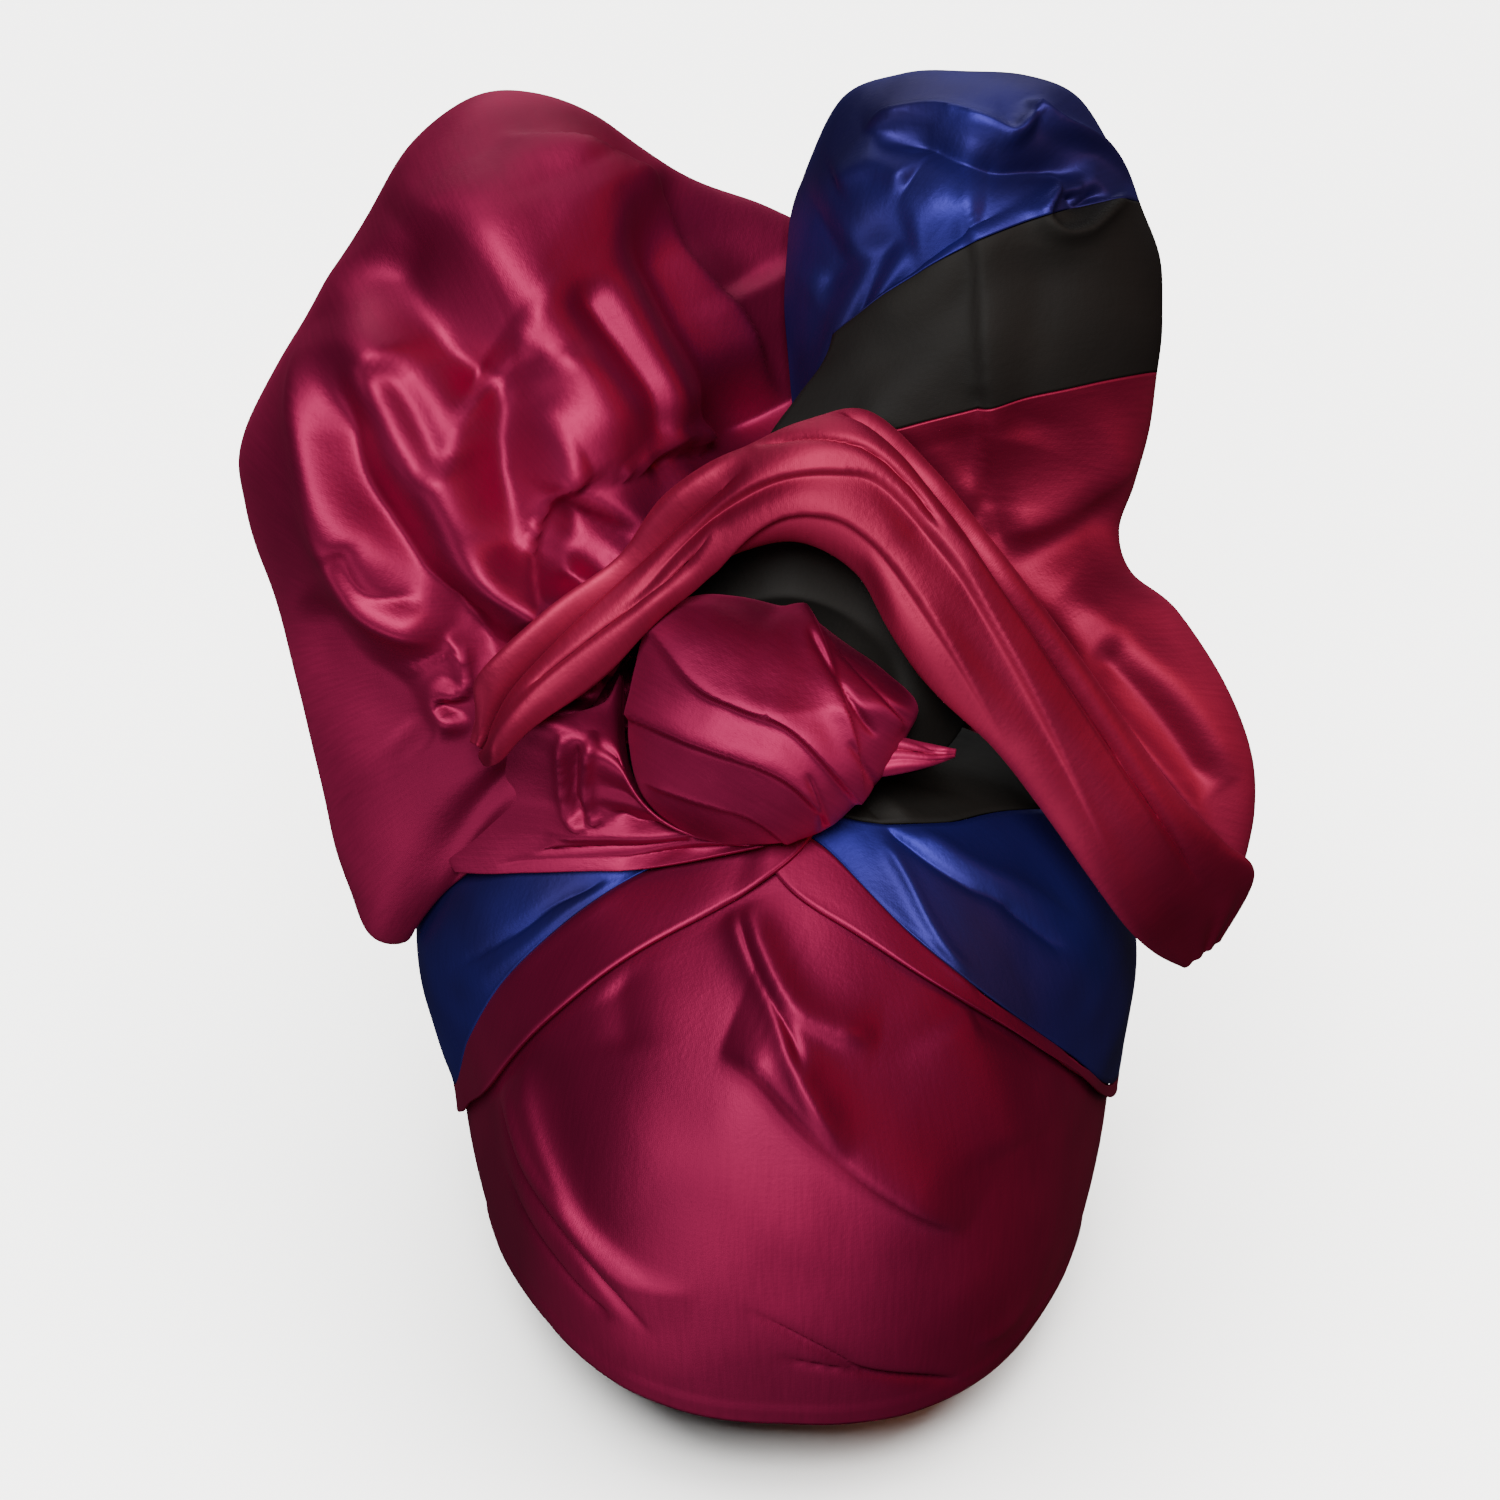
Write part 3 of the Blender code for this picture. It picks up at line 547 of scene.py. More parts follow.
# head covering
cap = {
    # lower edge as azimuth and elevation
    "rim": [
        (-180, -46), (-120, -43), (-80, -38), (-45, -30.5), (-20, -30.5), (5, -31.5),
        (30, -33), (50, -35), (80, -39), (120, -43), (180, -46),
    ],
    "segments": 292,
    "rings": 146,
    "frontCrowding": 36.0,
    "wall": 1.2,
    "slack": {"height": 0.4, "size": 34, "seed": 3},
    "turnedEdge": {"from": 0.955, "to": 0.965, "lift": 0.6},
    "folds": [
        (4.5, 5.0, 3.0, [(-16, -34), (-10, -49), (-3, -64), (3, -80), (14, -98)]),
        (3.5, 4.5, 3.0, [(-11, -34), (-6, -49), (1, -61), (11, -67), (23, -70)]),
        (-3.0, 2.2, 2.2, [(-13, -38), (-8, -52), (-1, -66), (4, -78)]),
        (6.5, 11.0, 2.2, [(-17, -72), (-7, -77), (3, -88), (16, -101), (29, -110), (46, -120)]),
        (3.5, 2.2, 9.0, [(-67, -74), (-65, -88), (-60, -103), (-52, -119), (-40, -131), (-22, -137)]),
        (-3.2, 1.2, 1.4, [(-74, -85), (-69, -103), (-60, -116), (-49, -129), (-34, -148)]),
        (-2.4, 1.1, 1.1, [(-76, -101), (-67, -119), (-54, -135), (-44, -143)]),
        (1.6, 0.9, 3.0, [(-71, -80), (-66, -98), (-57, -112), (-46, -124), (-34, -133)]),
        (-1.8, 1.0, 1.0, [(-12, -139), (11, -152), (22, -158), (47, -162)]),
        (-1.8, 1.0, 1.0, [(-4, -153), (19, -158), (50, -162), (71, -159)]),
        (2.6, 3.0, 1.6, [(75, -120), (67, -135), (61, -145), (48, -151)]),
        (-1.8, 5.0, 5.0, [(-43, -50), (-43, -60), (-41, -74)]),
        (2.0, 8.0, 8.0, [(40, -64), (50, -80), (58, -100)]),
    ],
}


def buildCap():
    plain = np.linspace(-180, 180, cap["segments"], endpoint=False)[:, None]
    azimuth = plain - cap["frontCrowding"] * np.sin(np.radians(plain))
    share = np.linspace(0, 1, cap["rings"])[None, :]
    ring = 1 - (1 - share) ** 1.25  # closer rings towards the rim
    ring = 0.55 * share + 0.45 * ring
    rim = np.interp(azimuth, *zip(*cap["rim"]))
    elevation = 90 - (90 - rim) * ring
    azimuth = azimuth + 0 * elevation
    unit = direction(azimuth, elevation)
    points = headCentre + unit * capRadius(unit)[..., None]
    across, rise, proud = onPlane(points)
    turned = np.where(azimuth < bandTable[0, 0], azimuth, azimuth - 360)
    hem = np.interp(turned, *hemLine)
    front = ramp(proud, -25, 5) * (1 - ramp(elevation, hem - 5, hem - 0.5))
    height = foldHeight(across, rise, cap["folds"])
    loose = cap["slack"]
    slack = loose["height"] * crumple(across * 1.3, rise * 0.6, loose["size"], loose["seed"])
    bare = 1 - ramp(elevation, hem - 5, hem - 0.5)
    points = points + unit * (height * front + slack * bare)[..., None]
    # turned edge: the cloth is doubled for 7 mm above the rim
    edge = cap["turnedEdge"]
    doubled = ramp(share, edge["from"], edge["to"]) * edge["lift"]
    points = points + unit * (doubled + 0 * elevation)[..., None]
    piece = gridPiece("crownCovering", points, magentaSatin, cap["wall"], wrap=True, merge=True)
    finishPiece(piece, "crown_cap")
    return piece, points


def buildBandPanel(name, node, low, high, widthSteps, material):
    # one panel of the band between two of its named edges, given as columns of its table
    row = smoothRows(band["rows"], np.linspace(0, 1, band["steps"]))[:, None, :]
    share = np.linspace(0, 1, widthSteps)[None, :]
    inset = math.degrees(band["seamGap"] / head["halfWidth"])
    bottom = row[..., low] + inset
    elevation = bottom + (row[..., high] - inset - bottom) * share
    azimuth = row[..., 0] + 0 * elevation
    unit = direction(azimuth, elevation)
    acrossBand = (elevation - row[..., 2]) / (row[..., 4] - row[..., 2])
    lift = head["layerGap"] + head["cloth"] + row[..., 5] * bandRise(acrossBand)
    # this end crosses over the other one under the knot
    lift = lift + band["crossLift"] * ramp(azimuth, -16, -6)
    points = headCentre + unit * (capRadius(unit) + lift)[..., None]
    across, rise, proud = onPlane(points)
    edge = ramp(share, 0.0, 0.12) * ramp(1 - share, 0.0, 0.12)
    height = foldHeight(across, rise, band["folds"]) * ramp(proud, -30, 10)
    slack = band["slack"]
    height = height + slack["height"] * crumple(azimuth * 0.6, elevation * 1.8, slack["size"], slack["seed"])
    points = points + unit * (height * (0.15 + 0.85 * edge))[..., None]
    piece = gridPiece(name, points, material, band["wall"])
    finishPiece(piece, node)
    return piece, points


# strands of a loop, one row each: where it leaves the neck, its middle and the outer fold that turns it
# back (across, rise each), how proud its two ends are, and its swell before and behind
leftLoop = {
    "rows": [
        (-58, -16, -72, -32, -84, -44, 22, -26, 8, 8),
        (-60, -10, -80, -28, -97, -48, 24, -28, 14, 8),
        (-60, -3, -84, -20, -109, -46, 25, -28, 22, 10),
        (-58, 3, -88, -10, -115, -33, 26, -25, 29, 12),
        (-54, 9, -92, 6, -121, -10, 26, -20, 35, 14),
        (-50, 15, -98, 28, -130, 32, 26, -12, 41, 18),
        (-46, 20, -103, 44, -140, 66, 26, -4, 46, 24),
        (-43, 25, -102, 56, -140, 86, 26, -2, 54, 26),
        (-39, 31, -92, 74, -123.5, 116.5, 26, 0, 60, 28),
        (-35, 37, -80, 88, -108.5, 140.5, 26, 0, 62, 28),
        (-31, 43, -68, 100, -97, 160, 26, -2, 60, 28),
        (-27, 49, -57, 109, -82, 172, 25, -4, 56, 26),
        (-23, 55, -46, 114, -67, 174, 24, -6, 50, 24),
        (-18, 61, -35, 115, -50, 168, 22, -8, 42, 20),
        (-13, 66, -22, 111, -29, 154, 18, -12, 32, 16),
        (-8, 70, -7, 109, -6, 146, 9, -20, 20, 12),
        (4, 74, 13, 106, 20, 134, 2, -27, 9, 8),
    ],
    "strands": 234,
    "stations": 172,
    "slackSeed": 41,
    "wall": 0.9,
    "neckAt": (-22.0, 34.0, 6.0),
    "neckAlong": (-0.3, 0.95),
    "neckSpread": 40.0,
    "neckWave": 3.0,
    "gathers": 5,
    "pleats": 9,
    "folds": [
        # lower left: a ridge that curves round, the hollow inside it and the middle ridge
        (10.0, 12.0, 5.0, [(-121, 112), (-120, 84), (-116, 62), (-108, 44), (-97, 36), (-84, 32)]),
        (-12.0, 6.0, 7.0, [(-112, 104), (-110, 86), (-107, 71), (-97, 56), (-86, 42), (-76, 30), (-78, 16)]),
        (8.0, 11.0, 9.0, [(-110, 116), (-101, 92), (-92, 74), (-82, 58), (-72, 42), (-66, 28)]),
        (-5.0, 5.5, 5.5, [(-102, 100), (-94, 88), (-86, 72)]),
        (5.0, 10.0, 9.0, [(-76, 100), (-84, 84), (-84, 68), (-77, 53), (-69, 42)]),
        (-12.0, 9.0, 9.0, [(-64, 103), (-70, 86), (-71, 72), (-69, 58), (-75, 44)]),
        (7.0, 8.0, 7.0, [(-68, 100), (-60, 82), (-52, 69)]),
        # the pocket beside the neck, with a sharp lip
        (6.0, 0.9, 7.0, [(-50, 72), (-59, 66), (-64, 55), (-65, 42), (-62, 30)]),
        (-9.0, 7.0, 7.0, [(-48, 66), (-52, 55), (-54, 40)]),
        (5.0, 5.0, 1.0, [(-52, 71), (-40, 74), (-31, 80), (-21, 83), (-6, 84)]),
        (-4.0, 2.0, 2.0, [(-36, 74), (-24, 78), (-10, 79)]),
        # upper half: two broad ridges side by side, a wide hollow and the sharp crest over it
        (9.0, 18.0, 14.0, [(-86, 150), (-72, 124), (-60, 107), (-50, 92), (-40, 76)]),
        (-5.0, 5.0, 5.0, [(-56, 120), (-48, 108), (-38, 94), (-32, 80)]),
        (8.0, 9.0, 10.0, [(-54, 148), (-41, 120), (-32, 102), (-24, 84)]),
        (-13.0, 11.0, 10.0, [(-44, 146), (-30, 122), (-20, 104), (-9, 88), (-4, 82)]),
        (8.0, 2.0, 8.0, [
            (-75, 159), (-59, 154), (-46, 148), (-33, 141), (-23, 128), (-15, 118), (-7, 105), (3, 92),
        ]),
        (-5.0, 8.0, 8.0, [(-34, 154), (-16, 140), (-4, 124)]),
        (-7.0, 11.0, 10.0, [(-102, 132), (-93, 116), (-82, 102), (-74, 96)]),
        (2.5, 9.0, 26.0, [(-99, 137), (-86, 147), (-66, 149), (-46, 143)]),
        (4.0, 9.0, 9.0, [(-124, 130), (-112, 118), (-104, 107), (-96, 95)]),
        (-3.0, 3.0, 3.0, [(-112, 57), (-106, 45), (-92, 41)]),
        (5.0, 1.2, 3.5, [(-88, 32), (-83, 28), (-82, 19), (-90, 16), (-88, 12), (-80, 9)]),
        (-5.0, 6.0, 12.0, [(-124, 44), (-112, 26), (-100, 18), (-90, 6)]),
    ],
}
rightLoop = {
    "rows": [
        (3, 84, 0, 128, 5, 152, 10, 4, 12, 4),
        (4, 87, 7, 134, 15, 172, 11, 3, 32, 12),
        (6, 90, 17, 141, 30, 177.5, 12, 2, 46, 18),
        (8, 94, 28, 143, 46, 178, 14, 0, 56, 24),
        (10, 98, 36, 142, 62, 177, 16, -1, 60, 26),
        (11, 102, 43, 139, 75, 172, 19, -2, 60, 28),
        (12, 105, 48, 135, 84, 158, 23, -2, 58, 28),
        (12.5, 108, 50, 132, 91, 144, 28, -2, 56, 28),
        (8, 101, 50, 120, 96.5, 130, 28, -2, 54, 28),
        (2, 92, 49, 105, 97, 115, 27, -2, 52, 28),
        (-6, 78, 46, 89, 95.5, 101, 26, -2, 46, 28),
        (2, 72, 48, 82, 93.5, 86, 24, -1, 40, 26),
        (8, 69, 52, 73, 90, 72, 24, 0, 32, 24),
        (14, 66, 56, 63, 85.5, 60, 26, 2, 26, 22),
        (19, 63, 60, 52, 89, 49, 26, 2, 24, 20),
        (24, 60, 65, 41, 101, 39, 26, 0, 24, 20),
        (28, 57, 69, 29, 113, 21, 27, -2, 26, 20),
        (31, 53, 71, 19, 120.5, 3, 26, -4, 24, 20),
        (34, 48, 70, 10, 121.5, -13, 25, -5, 22, 20),
        (37, 43, 68, 4, 118, -28, 24, -6, 20, 18),
    ],
    "blueEnds": 7 / 19,
    "blackEnds": 10 / 19,
    "blueStrands": 118,
    "blackStrands": 56,
    "redStrands": 150,
    "stations": 160,
    "seamInset": 0.12,
    "slackSeed": 51,
    "wall": 0.9,
    "neckAt": (30.0, 38.0, 6.0),
    "neckAlong": (-0.2, -0.98),
    "neckSpread": 40.0,
    "neckWave": 3.0,
    "gathers": 5,
    "pleats": 8,
    "folds": [
        (6.0, 3.0, 1.2, [(20, 160), (27, 162), (37, 163), (48, 160), (56, 157), (60, 160), (63, 166)]),
        (6.0, 3.0, 1.2, [(60, 168), (63, 163), (68, 160), (74, 158), (80, 155), (89, 147), (92, 140)]),
        (-7.0, 4.0, 4.0, [(22, 156), (34, 157), (44, 152), (54, 150), (66, 151), (78, 149)]),
        (5.0, 1.2, 3.0, [(70, 152), (67, 144), (64, 138), (68, 134), (74, 135), (80, 140), (92, 149)]),
        (-4.0, 2.5, 2.5, [(72, 145), (74, 141), (80, 146)]),
        (3.0, 5.0, 3.0, [(14, 146), (23, 150), (32, 146)]),
        (4.0, 9.0, 9.0, [(10, 135), (22, 140), (36, 142), (50, 140)]),
        (-3.0, 5.0, 5.0, [(6, 120), (20, 129), (34, 133)]),
        (3.5, 9.0, 2.0, [(44, 148), (48, 128), (49, 108), (50, 88), (48, 66)]),
        (-2.0, 8.0, 8.0, [(66, 130), (63, 112), (60, 96), (56, 82)]),
        (1.8, 4.0, 6.0, [(16, 89), (29, 84), (40, 76), (54, 58)]),
        (-4.0, 7.0, 8.0, [(44, 44), (58, 50), (72, 58), (90, 68)]),
        (3.0, 7.0, 4.0, [(54, 58), (68, 62), (80, 70), (94, 82)]),
        (-1.4, 2.0, 2.0, [(48, 96), (49, 86), (50, 72), (48, 60)]),
        (5.0, 3.0, 5.0, [(42, 60), (52, 48), (66, 31), (88, 7), (112, -22)]),
        (3.0, 6.0, 6.0, [(70, 44), (86, 30), (104, 12), (116, -6)]),
        (-3.0, 5.0, 5.0, [(78, 30), (94, 14), (110, -8)]),
    ],
}


# cloth that hangs in a loop: pleats that die away from the neck, and slack, in mm
loose = {
    "frontPleat": 0.9,
    "backPleat": 2.2,
    "pleatReach": 0.5,
    "slackHeight": 0.5,
    "slackSize": 36,
    "clearance": 2.0,
}


def fanPoints(loop, t):
    # a loop: strands run out along the front, round the outer fold and back behind to the neck
    stations = loop["stations"]
    half = stations * 5 // 8  # more stations on the side that shows
    turn = np.concatenate([
        np.linspace(0, math.pi / 2, half, endpoint=False), np.linspace(math.pi / 2, math.pi, stations - half)
    ])
    row = [column[:, None] for column in smoothRows(loop["rows"], t).T]
    innerAcross, innerRise, midAcross, midRise, outerAcross, outerRise = row[:6]
    innerProud, outerProud, frontSwell, backSwell = row[6:]
    rho, q = np.sin(turn)[None, :], np.cos(turn)[None, :]
    behind = ramp(-q, 0.0, 0.9)
    spread = (t[:, None] - 0.5) * loop["neckSpread"]
    place = []
    for axis, (inner, mid, outer) in enumerate((
        (innerAcross, midAcross, outerAcross),
        (innerRise, midRise, outerRise),
    )):
        backEnd = loop["neckAt"][axis] + spread * loop["neckAlong"][axis]
        start = inner + (backEnd - inner) * behind
        middle = mid + ((backEnd + outer) / 2 - mid) * behind
        near, far = (1 - rho) * (1 - 2 * rho), rho * (2 * rho - 1)
        place.append(start * near + middle * 4 * rho * (1 - rho) + outer * far)
    start = innerProud + (loop["neckAt"][2] - innerProud) * behind
    plump = 0.1 + 0.9 * (1 - (1 - rho) ** 1.9)
    # the front stays flat and full, then rolls over close to the outer fold
    swell = np.where(q > 0, frontSwell * np.maximum(q, 0) ** 0.65, backSwell * q) * plump
    proud = start + (outerProud - start) * rho + swell
    wave = np.cos(2 * np.pi * loop["gathers"] * t[:, None]) * rho * (1 - rho) * 4 * ramp(-q, 0.1, 0.6)
    proud = proud + loop["neckWave"] * wave
    across, rise = place
    grid = fromPlane(across, rise, proud)
    normal = surfaceNormals(grid)
    if np.sum(normal[:, :half] * fromPlane(0.0, 0.0, 1.0)) < 0:
        normal = -normal
    showing = ramp(q, 0.05, 0.55)
    height = foldHeight(across, rise, loop["folds"]) * showing
    # pleats that run out of the gathered neck and die away
    slip = 0.018 * np.sin(9 * rho + 20 * t[:, None])
    pleat = np.cos(2 * math.pi * loop["pleats"] * (t[:, None] + slip))
    pleat = pleat * np.exp(-((rho / loose["pleatReach"]) ** 2))
    height = height + (loose["frontPleat"] * showing + loose["backPleat"] * ramp(-q, 0.1, 0.5)) * pleat
    height = height + loose["slackHeight"] * crumple(across, rise, loose["slackSize"], loop["slackSeed"])
    grid = grid + normal * height[..., None]
    return seated(grid, loose["clearance"])


def insetEdges(grid, distance):
    moved = grid.copy()
    for edge, inner in ((0, 1), (-1, -2)):
        step = grid[inner] - grid[edge]
        length = np.linalg.norm(step, axis=-1, keepdims=True)
        moved[edge] += step * np.minimum(distance / np.maximum(length, 1e-6), 0.5)
    return moved


# rows run along the sash: upper edge and lower edge (across, rise each), how proud it is, and how deep
sash = {
    "rows": [
        (-80, 5, -77, 0, 46, 5),
        (-75, 20, -67, 8, 47, 9),
        (-60, 36, -50, 19, 48, 11),
        (-42, 51, -36, 32, 49, 12),
        (-26, 67, -23, 47, 50, 14),
        (-11, 77, -10, 54, 52, 17),
        (4, 85, 4, 55.5, 53, 20),
        (20, 88, 18, 47, 52.3, 22),
        (37, 73, 27, 30, 51.0, 22),
        (52, 54.5, 38, 17, 49, 21),
        (68, 34, 52, 4, 45, 19),
        (83, 13.5, 64, -11, 40, 17),
        (98, -7, 77, -29, 33, 15),
        (111, -20, 87, -42, 24, 13),
        (120, -29, 95, -49, 14, 9),
        (112, -46, 103, -53, 6, 4),
    ],
    "turn": 0.0,
    "flat": 0.6,
    "lengthSteps": 410,
    "widthSteps": 102,
    "pleats": 3.2,
    "pleatHeight": 0.3,
    "pleatPhase": 61,
    "clearance": 2.0,
    "wall": 0.9,
    "folds": [
        # the strap: a deep groove between two ridges
        (-8.0, 1.5, 1.5, [(-96, -28), (-80, -2), (-76, 9), (-68, 22), (-49, 42), (-28, 60), (-8, 73)]),
        (5.0, 3.0, 1.4, [(-98, -16), (-84, 6), (-75, 19), (-60, 34), (-43, 49), (-26, 64), (-8, 77)]),
        (4.0, 1.6, 4.5, [(-90, -20), (-78, -2), (-71, 10), (-59, 22), (-43, 35), (-27, 48), (-16, 62)]),
        (-2.4, 0.8, 0.8, [(-66, 18), (-48, 32), (-32, 44), (-18, 58)]),
        # the arch: flat layers, each with one sharp edge, that fan out over the knot
        (3.6, 9.0, 0.7, [
            (-34, 48), (-18, 63), (-4, 71), (11, 73), (24, 70), (40, 52), (50, 36), (66, 8), (84, -28),
        ]),
        (3.4, 6.0, 0.7, [(-30, 40), (-17, 53), (-2, 62), (11, 62), (20, 57), (28, 48), (40, 30), (56, 4)]),
        (-9.0, 1.5, 1.5, [
            (2, 90), (18, 87), (28, 79), (36, 69), (44, 59), (54, 44), (65, 30), (76, 14), (100, -22),
        ]),
        (-2.0, 0.8, 0.8, [(-8, 77), (4, 80), (18, 78), (29, 69), (38, 57)]),
        # the drape: flat with a few long pleats towards its end
        (2.6, 0.8, 9.0, [(36, 62), (50, 44), (66, 22), (84, -4), (102, -30)]),
        (-1.8, 0.9, 0.9, [(58, 36), (74, 14), (90, -8), (106, -32)]),
    ],
}
knotTip = {
    "rows": [
        (16, 7, 17, -4, 44, 3),
        (26, 6.5, 26, -3, 45, 3),
        (35, 4.5, 35, -1, 45, 2.5),
        (42.5, 3, 42, 1.5, 44, 1.5),
    ],
    "turn": 0.35,
    "flat": 1.0,
    "lengthSteps": 60,
    "widthSteps": 32,
    "pleats": 3.2,
    "pleatHeight": 0.3,
    "pleatPhase": 31,
    "clearance": None,  # its root stays inside the knot
    "wall": 0.8,
    "folds": [(-0.9, 1.2, 1.2, [(20, 4), (30, 3), (40, 2.4)])],
}
tail = {
    "rows": [
        (-6, -21, -42, -30, -84, -29, 38, 10, 3, 1),
        (-8, -20, -45, -25, -88, -22, 39, 8, 5, 1),
        (-10, -19, -48, -17, -88, -10, 40, 10, 7, 1),
        (-13, -17, -49, -10, -84, 1, 40, 16, 8, 1),
        (-16, -16, -49, -4, -75, 8, 40, 26, 8, 1),
        (-19, -14, -47, 1, -64, 11, 40, 35, 8, 1),
        (-21, -12, -43, 3, -55, 12, 40, 36, 7, 1),
        (-22, -8, -38, 5, -46, 15, 38, 34, 5, 1),
        (-22, -2, -36, 12, -42, 22, 32, 28, 3, 1),
    ],
    "strands": 104,
    "stations": 116,
    "slackSeed": 71,
    "wall": 0.9,
    "neckAt": (-24.0, -17.0, 34.0),
    "neckAlong": (-0.3, 0.95),
    "neckSpread": 6.0,
    "neckWave": 0.5,
    "gathers": 2,
    "pleats": 5,
    "folds": [
        (3.2, 1.4, 1.4, [(-57, 8), (-57, -3), (-55, -14), (-50, -18)]),
        (3.2, 1.4, 1.4, [(-49, 8), (-51, -3), (-50, -12), (-47, -17)]),
        (-2.0, 1.6, 1.6, [(-53, 6), (-54, -7), (-50, -16)]),
        (-2.4, 1.5, 1.5, [(-44, -13), (-38, -16), (-32, -16), (-21, -16)]),
        (2.2, 2.2, 2.2, [(-60, -20), (-46, -19), (-32, -18.5), (-21, -17)]),
        (-2.2, 1.4, 1.4, [(-62, -26), (-48, -24.5), (-36, -22.5), (-21, -19)]),
        (-1.8, 1.4, 1.4, [(-72, -28), (-54, -28.5), (-38, -27), (-22, -23)]),
    ],
}


def sashPoints(strip):
    # a band with its long edges turned back, gathered into lengthwise pleats
    rows = smoothRows(strip["rows"], np.linspace(0, 1, strip["lengthSteps"]))
    upperAcross, upperRise, lowerAcross, lowerRise, proudAt, depth = [c[:, None] for c in rows.T]
    bend = np.linspace(-math.pi / 2, math.pi / 2, strip["widthSteps"])[None, :]
    share = (1 + np.sin(bend)) / 2
    across = upperAcross + (lowerAcross - upperAcross) * share
    rise = upperRise + (lowerRise - upperRise) * share
    flat = (1 - np.abs(np.sin(bend)) ** 4) ** 0.5  # a flat middle and round long edges
    proud = proudAt + strip["flat"] * depth * (flat - strip["turn"])
    grid = fromPlane(across, rise, proud)
    normal = surfaceNormals(grid, fromPlane(0.0, 0.0, 1.0))
    height = foldHeight(across, rise, strip["folds"]) * ramp(np.cos(bend), 0.05, 0.5)
    along = np.linspace(0, 1, strip["lengthSteps"])[:, None]
    sway = 0.5 * np.sin(5 * along + strip["pleatPhase"])
    pleat = np.cos(2 * math.pi * (strip["pleats"] * share + sway))
    height = height + strip["pleatHeight"] * pleat * np.cos(bend)
    grid = grid + normal * height[..., None]
    return grid if strip["clearance"] is None else seated(grid, strip["clearance"])


def woundPoints(wound):
    # a closed wound lump: a rounded box, or else its drawn outline carried over a low rounded front
    down = np.linspace(0, math.pi, wound["down"])[None, :]
    if "outline" in wound:
        ring = np.array(wound["outline"] + wound["outline"][:3], float)
        # read from its second point, so that the smooth line runs on past where it closes
        turns = np.linspace(0, 1, wound["around"], endpoint=False)
        at = (1 + turns * len(wound["outline"])) / (len(ring) - 1)
        edge = smoothRows(ring, at)[:, None, :] - np.array(wound["middle"][:2])
        spread = np.sin(down) ** 0.95
        front = np.cos(down)
        plane = np.concatenate([
            edge * spread[..., None], (front * wound["half"][2] + 0 * edge[..., 0])[..., None]
        ], axis=-1)
        unit = plane / np.array(wound["half"])
    else:
        around = np.linspace(0, 2 * math.pi, wound["around"], endpoint=False)[:, None]
        unit = np.stack([
            np.cos(around) * np.sin(down), np.cos(down) + 0 * around, np.sin(around) * np.sin(down)
        ], axis=-1)
        power = wound["square"]
        unit = unit / np.sum(np.abs(unit) ** power, axis=-1, keepdims=True) ** (1 / power)
        plane = unit * np.array(wound["half"])
    plane = plane + np.array(wound["middle"])
    across, rise = plane[..., 0], plane[..., 1]
    facing = ramp(unit[..., 2], 0.0, 0.3)
    height = foldHeight(across, rise, wound["folds"]) * facing
    height = height + 0.25 * crumple(across, rise, 16, wound["slackSeed"])
    if wound["pleats"]:
        turn = np.arctan2(unit[..., 2], unit[..., 0])
        plane[..., 2] += 1.5 * np.cos(wound["pleats"] * turn) * (1 - np.clip(unit[..., 1], -1, 1) ** 2)
    points = fromPlane(across, rise, plane[..., 2])
    out = fromPlane(*np.moveaxis(unit * [0.5, 0.5, 1.0], -1, 0))
    out /= np.maximum(np.linalg.norm(out, axis=-1, keepdims=True), 1e-9)
    return points + out * height[..., None]


capPiece, capPoints = buildCap()
print("covering made")
hemPiece, hemPoints = buildBandPanel(
    "bandHem", "band_hem", 1, 2, band["hemSteps"], magentaSatin
)
bluePiece, bluePoints = buildBandPanel(
    "bandBluePanel", "band_blue", 2, 3, band["blueSteps"], blueSatin
)
blackPiece, blackPoints = buildBandPanel(
    "bandBlackPanel", "band_black", 3, 4, band["blackSteps"], blackSatin
)
print("band made")

knotPoints = clearOfHead(woundPoints(knot), knot["clearance"])
knotPiece = gridPiece("knotWrap", knotPoints, magentaSatin, wrap=True, merge=True, grain=knot["grain"])
finishPiece(knotPiece, "knot")
neckPoints = clearOfWound(woundPoints(neck), knot, neck["knotClearance"])
neckPoints = clearOfHead(neckPoints, neck["clearance"])
neckPiece = gridPiece("bowNeckCloth", neckPoints, blackSatin, wrap=True, merge=True, grain=neck["grain"])
finishPiece(neckPiece, "bow_neck")
tipPoints = sashPoints(knotTip)
tipPiece = gridPiece("knotLooseTip", tipPoints, magentaSatin, knotTip["wall"], flip=True)
finishPiece(tipPiece, "knot_tip")
print("knot made")

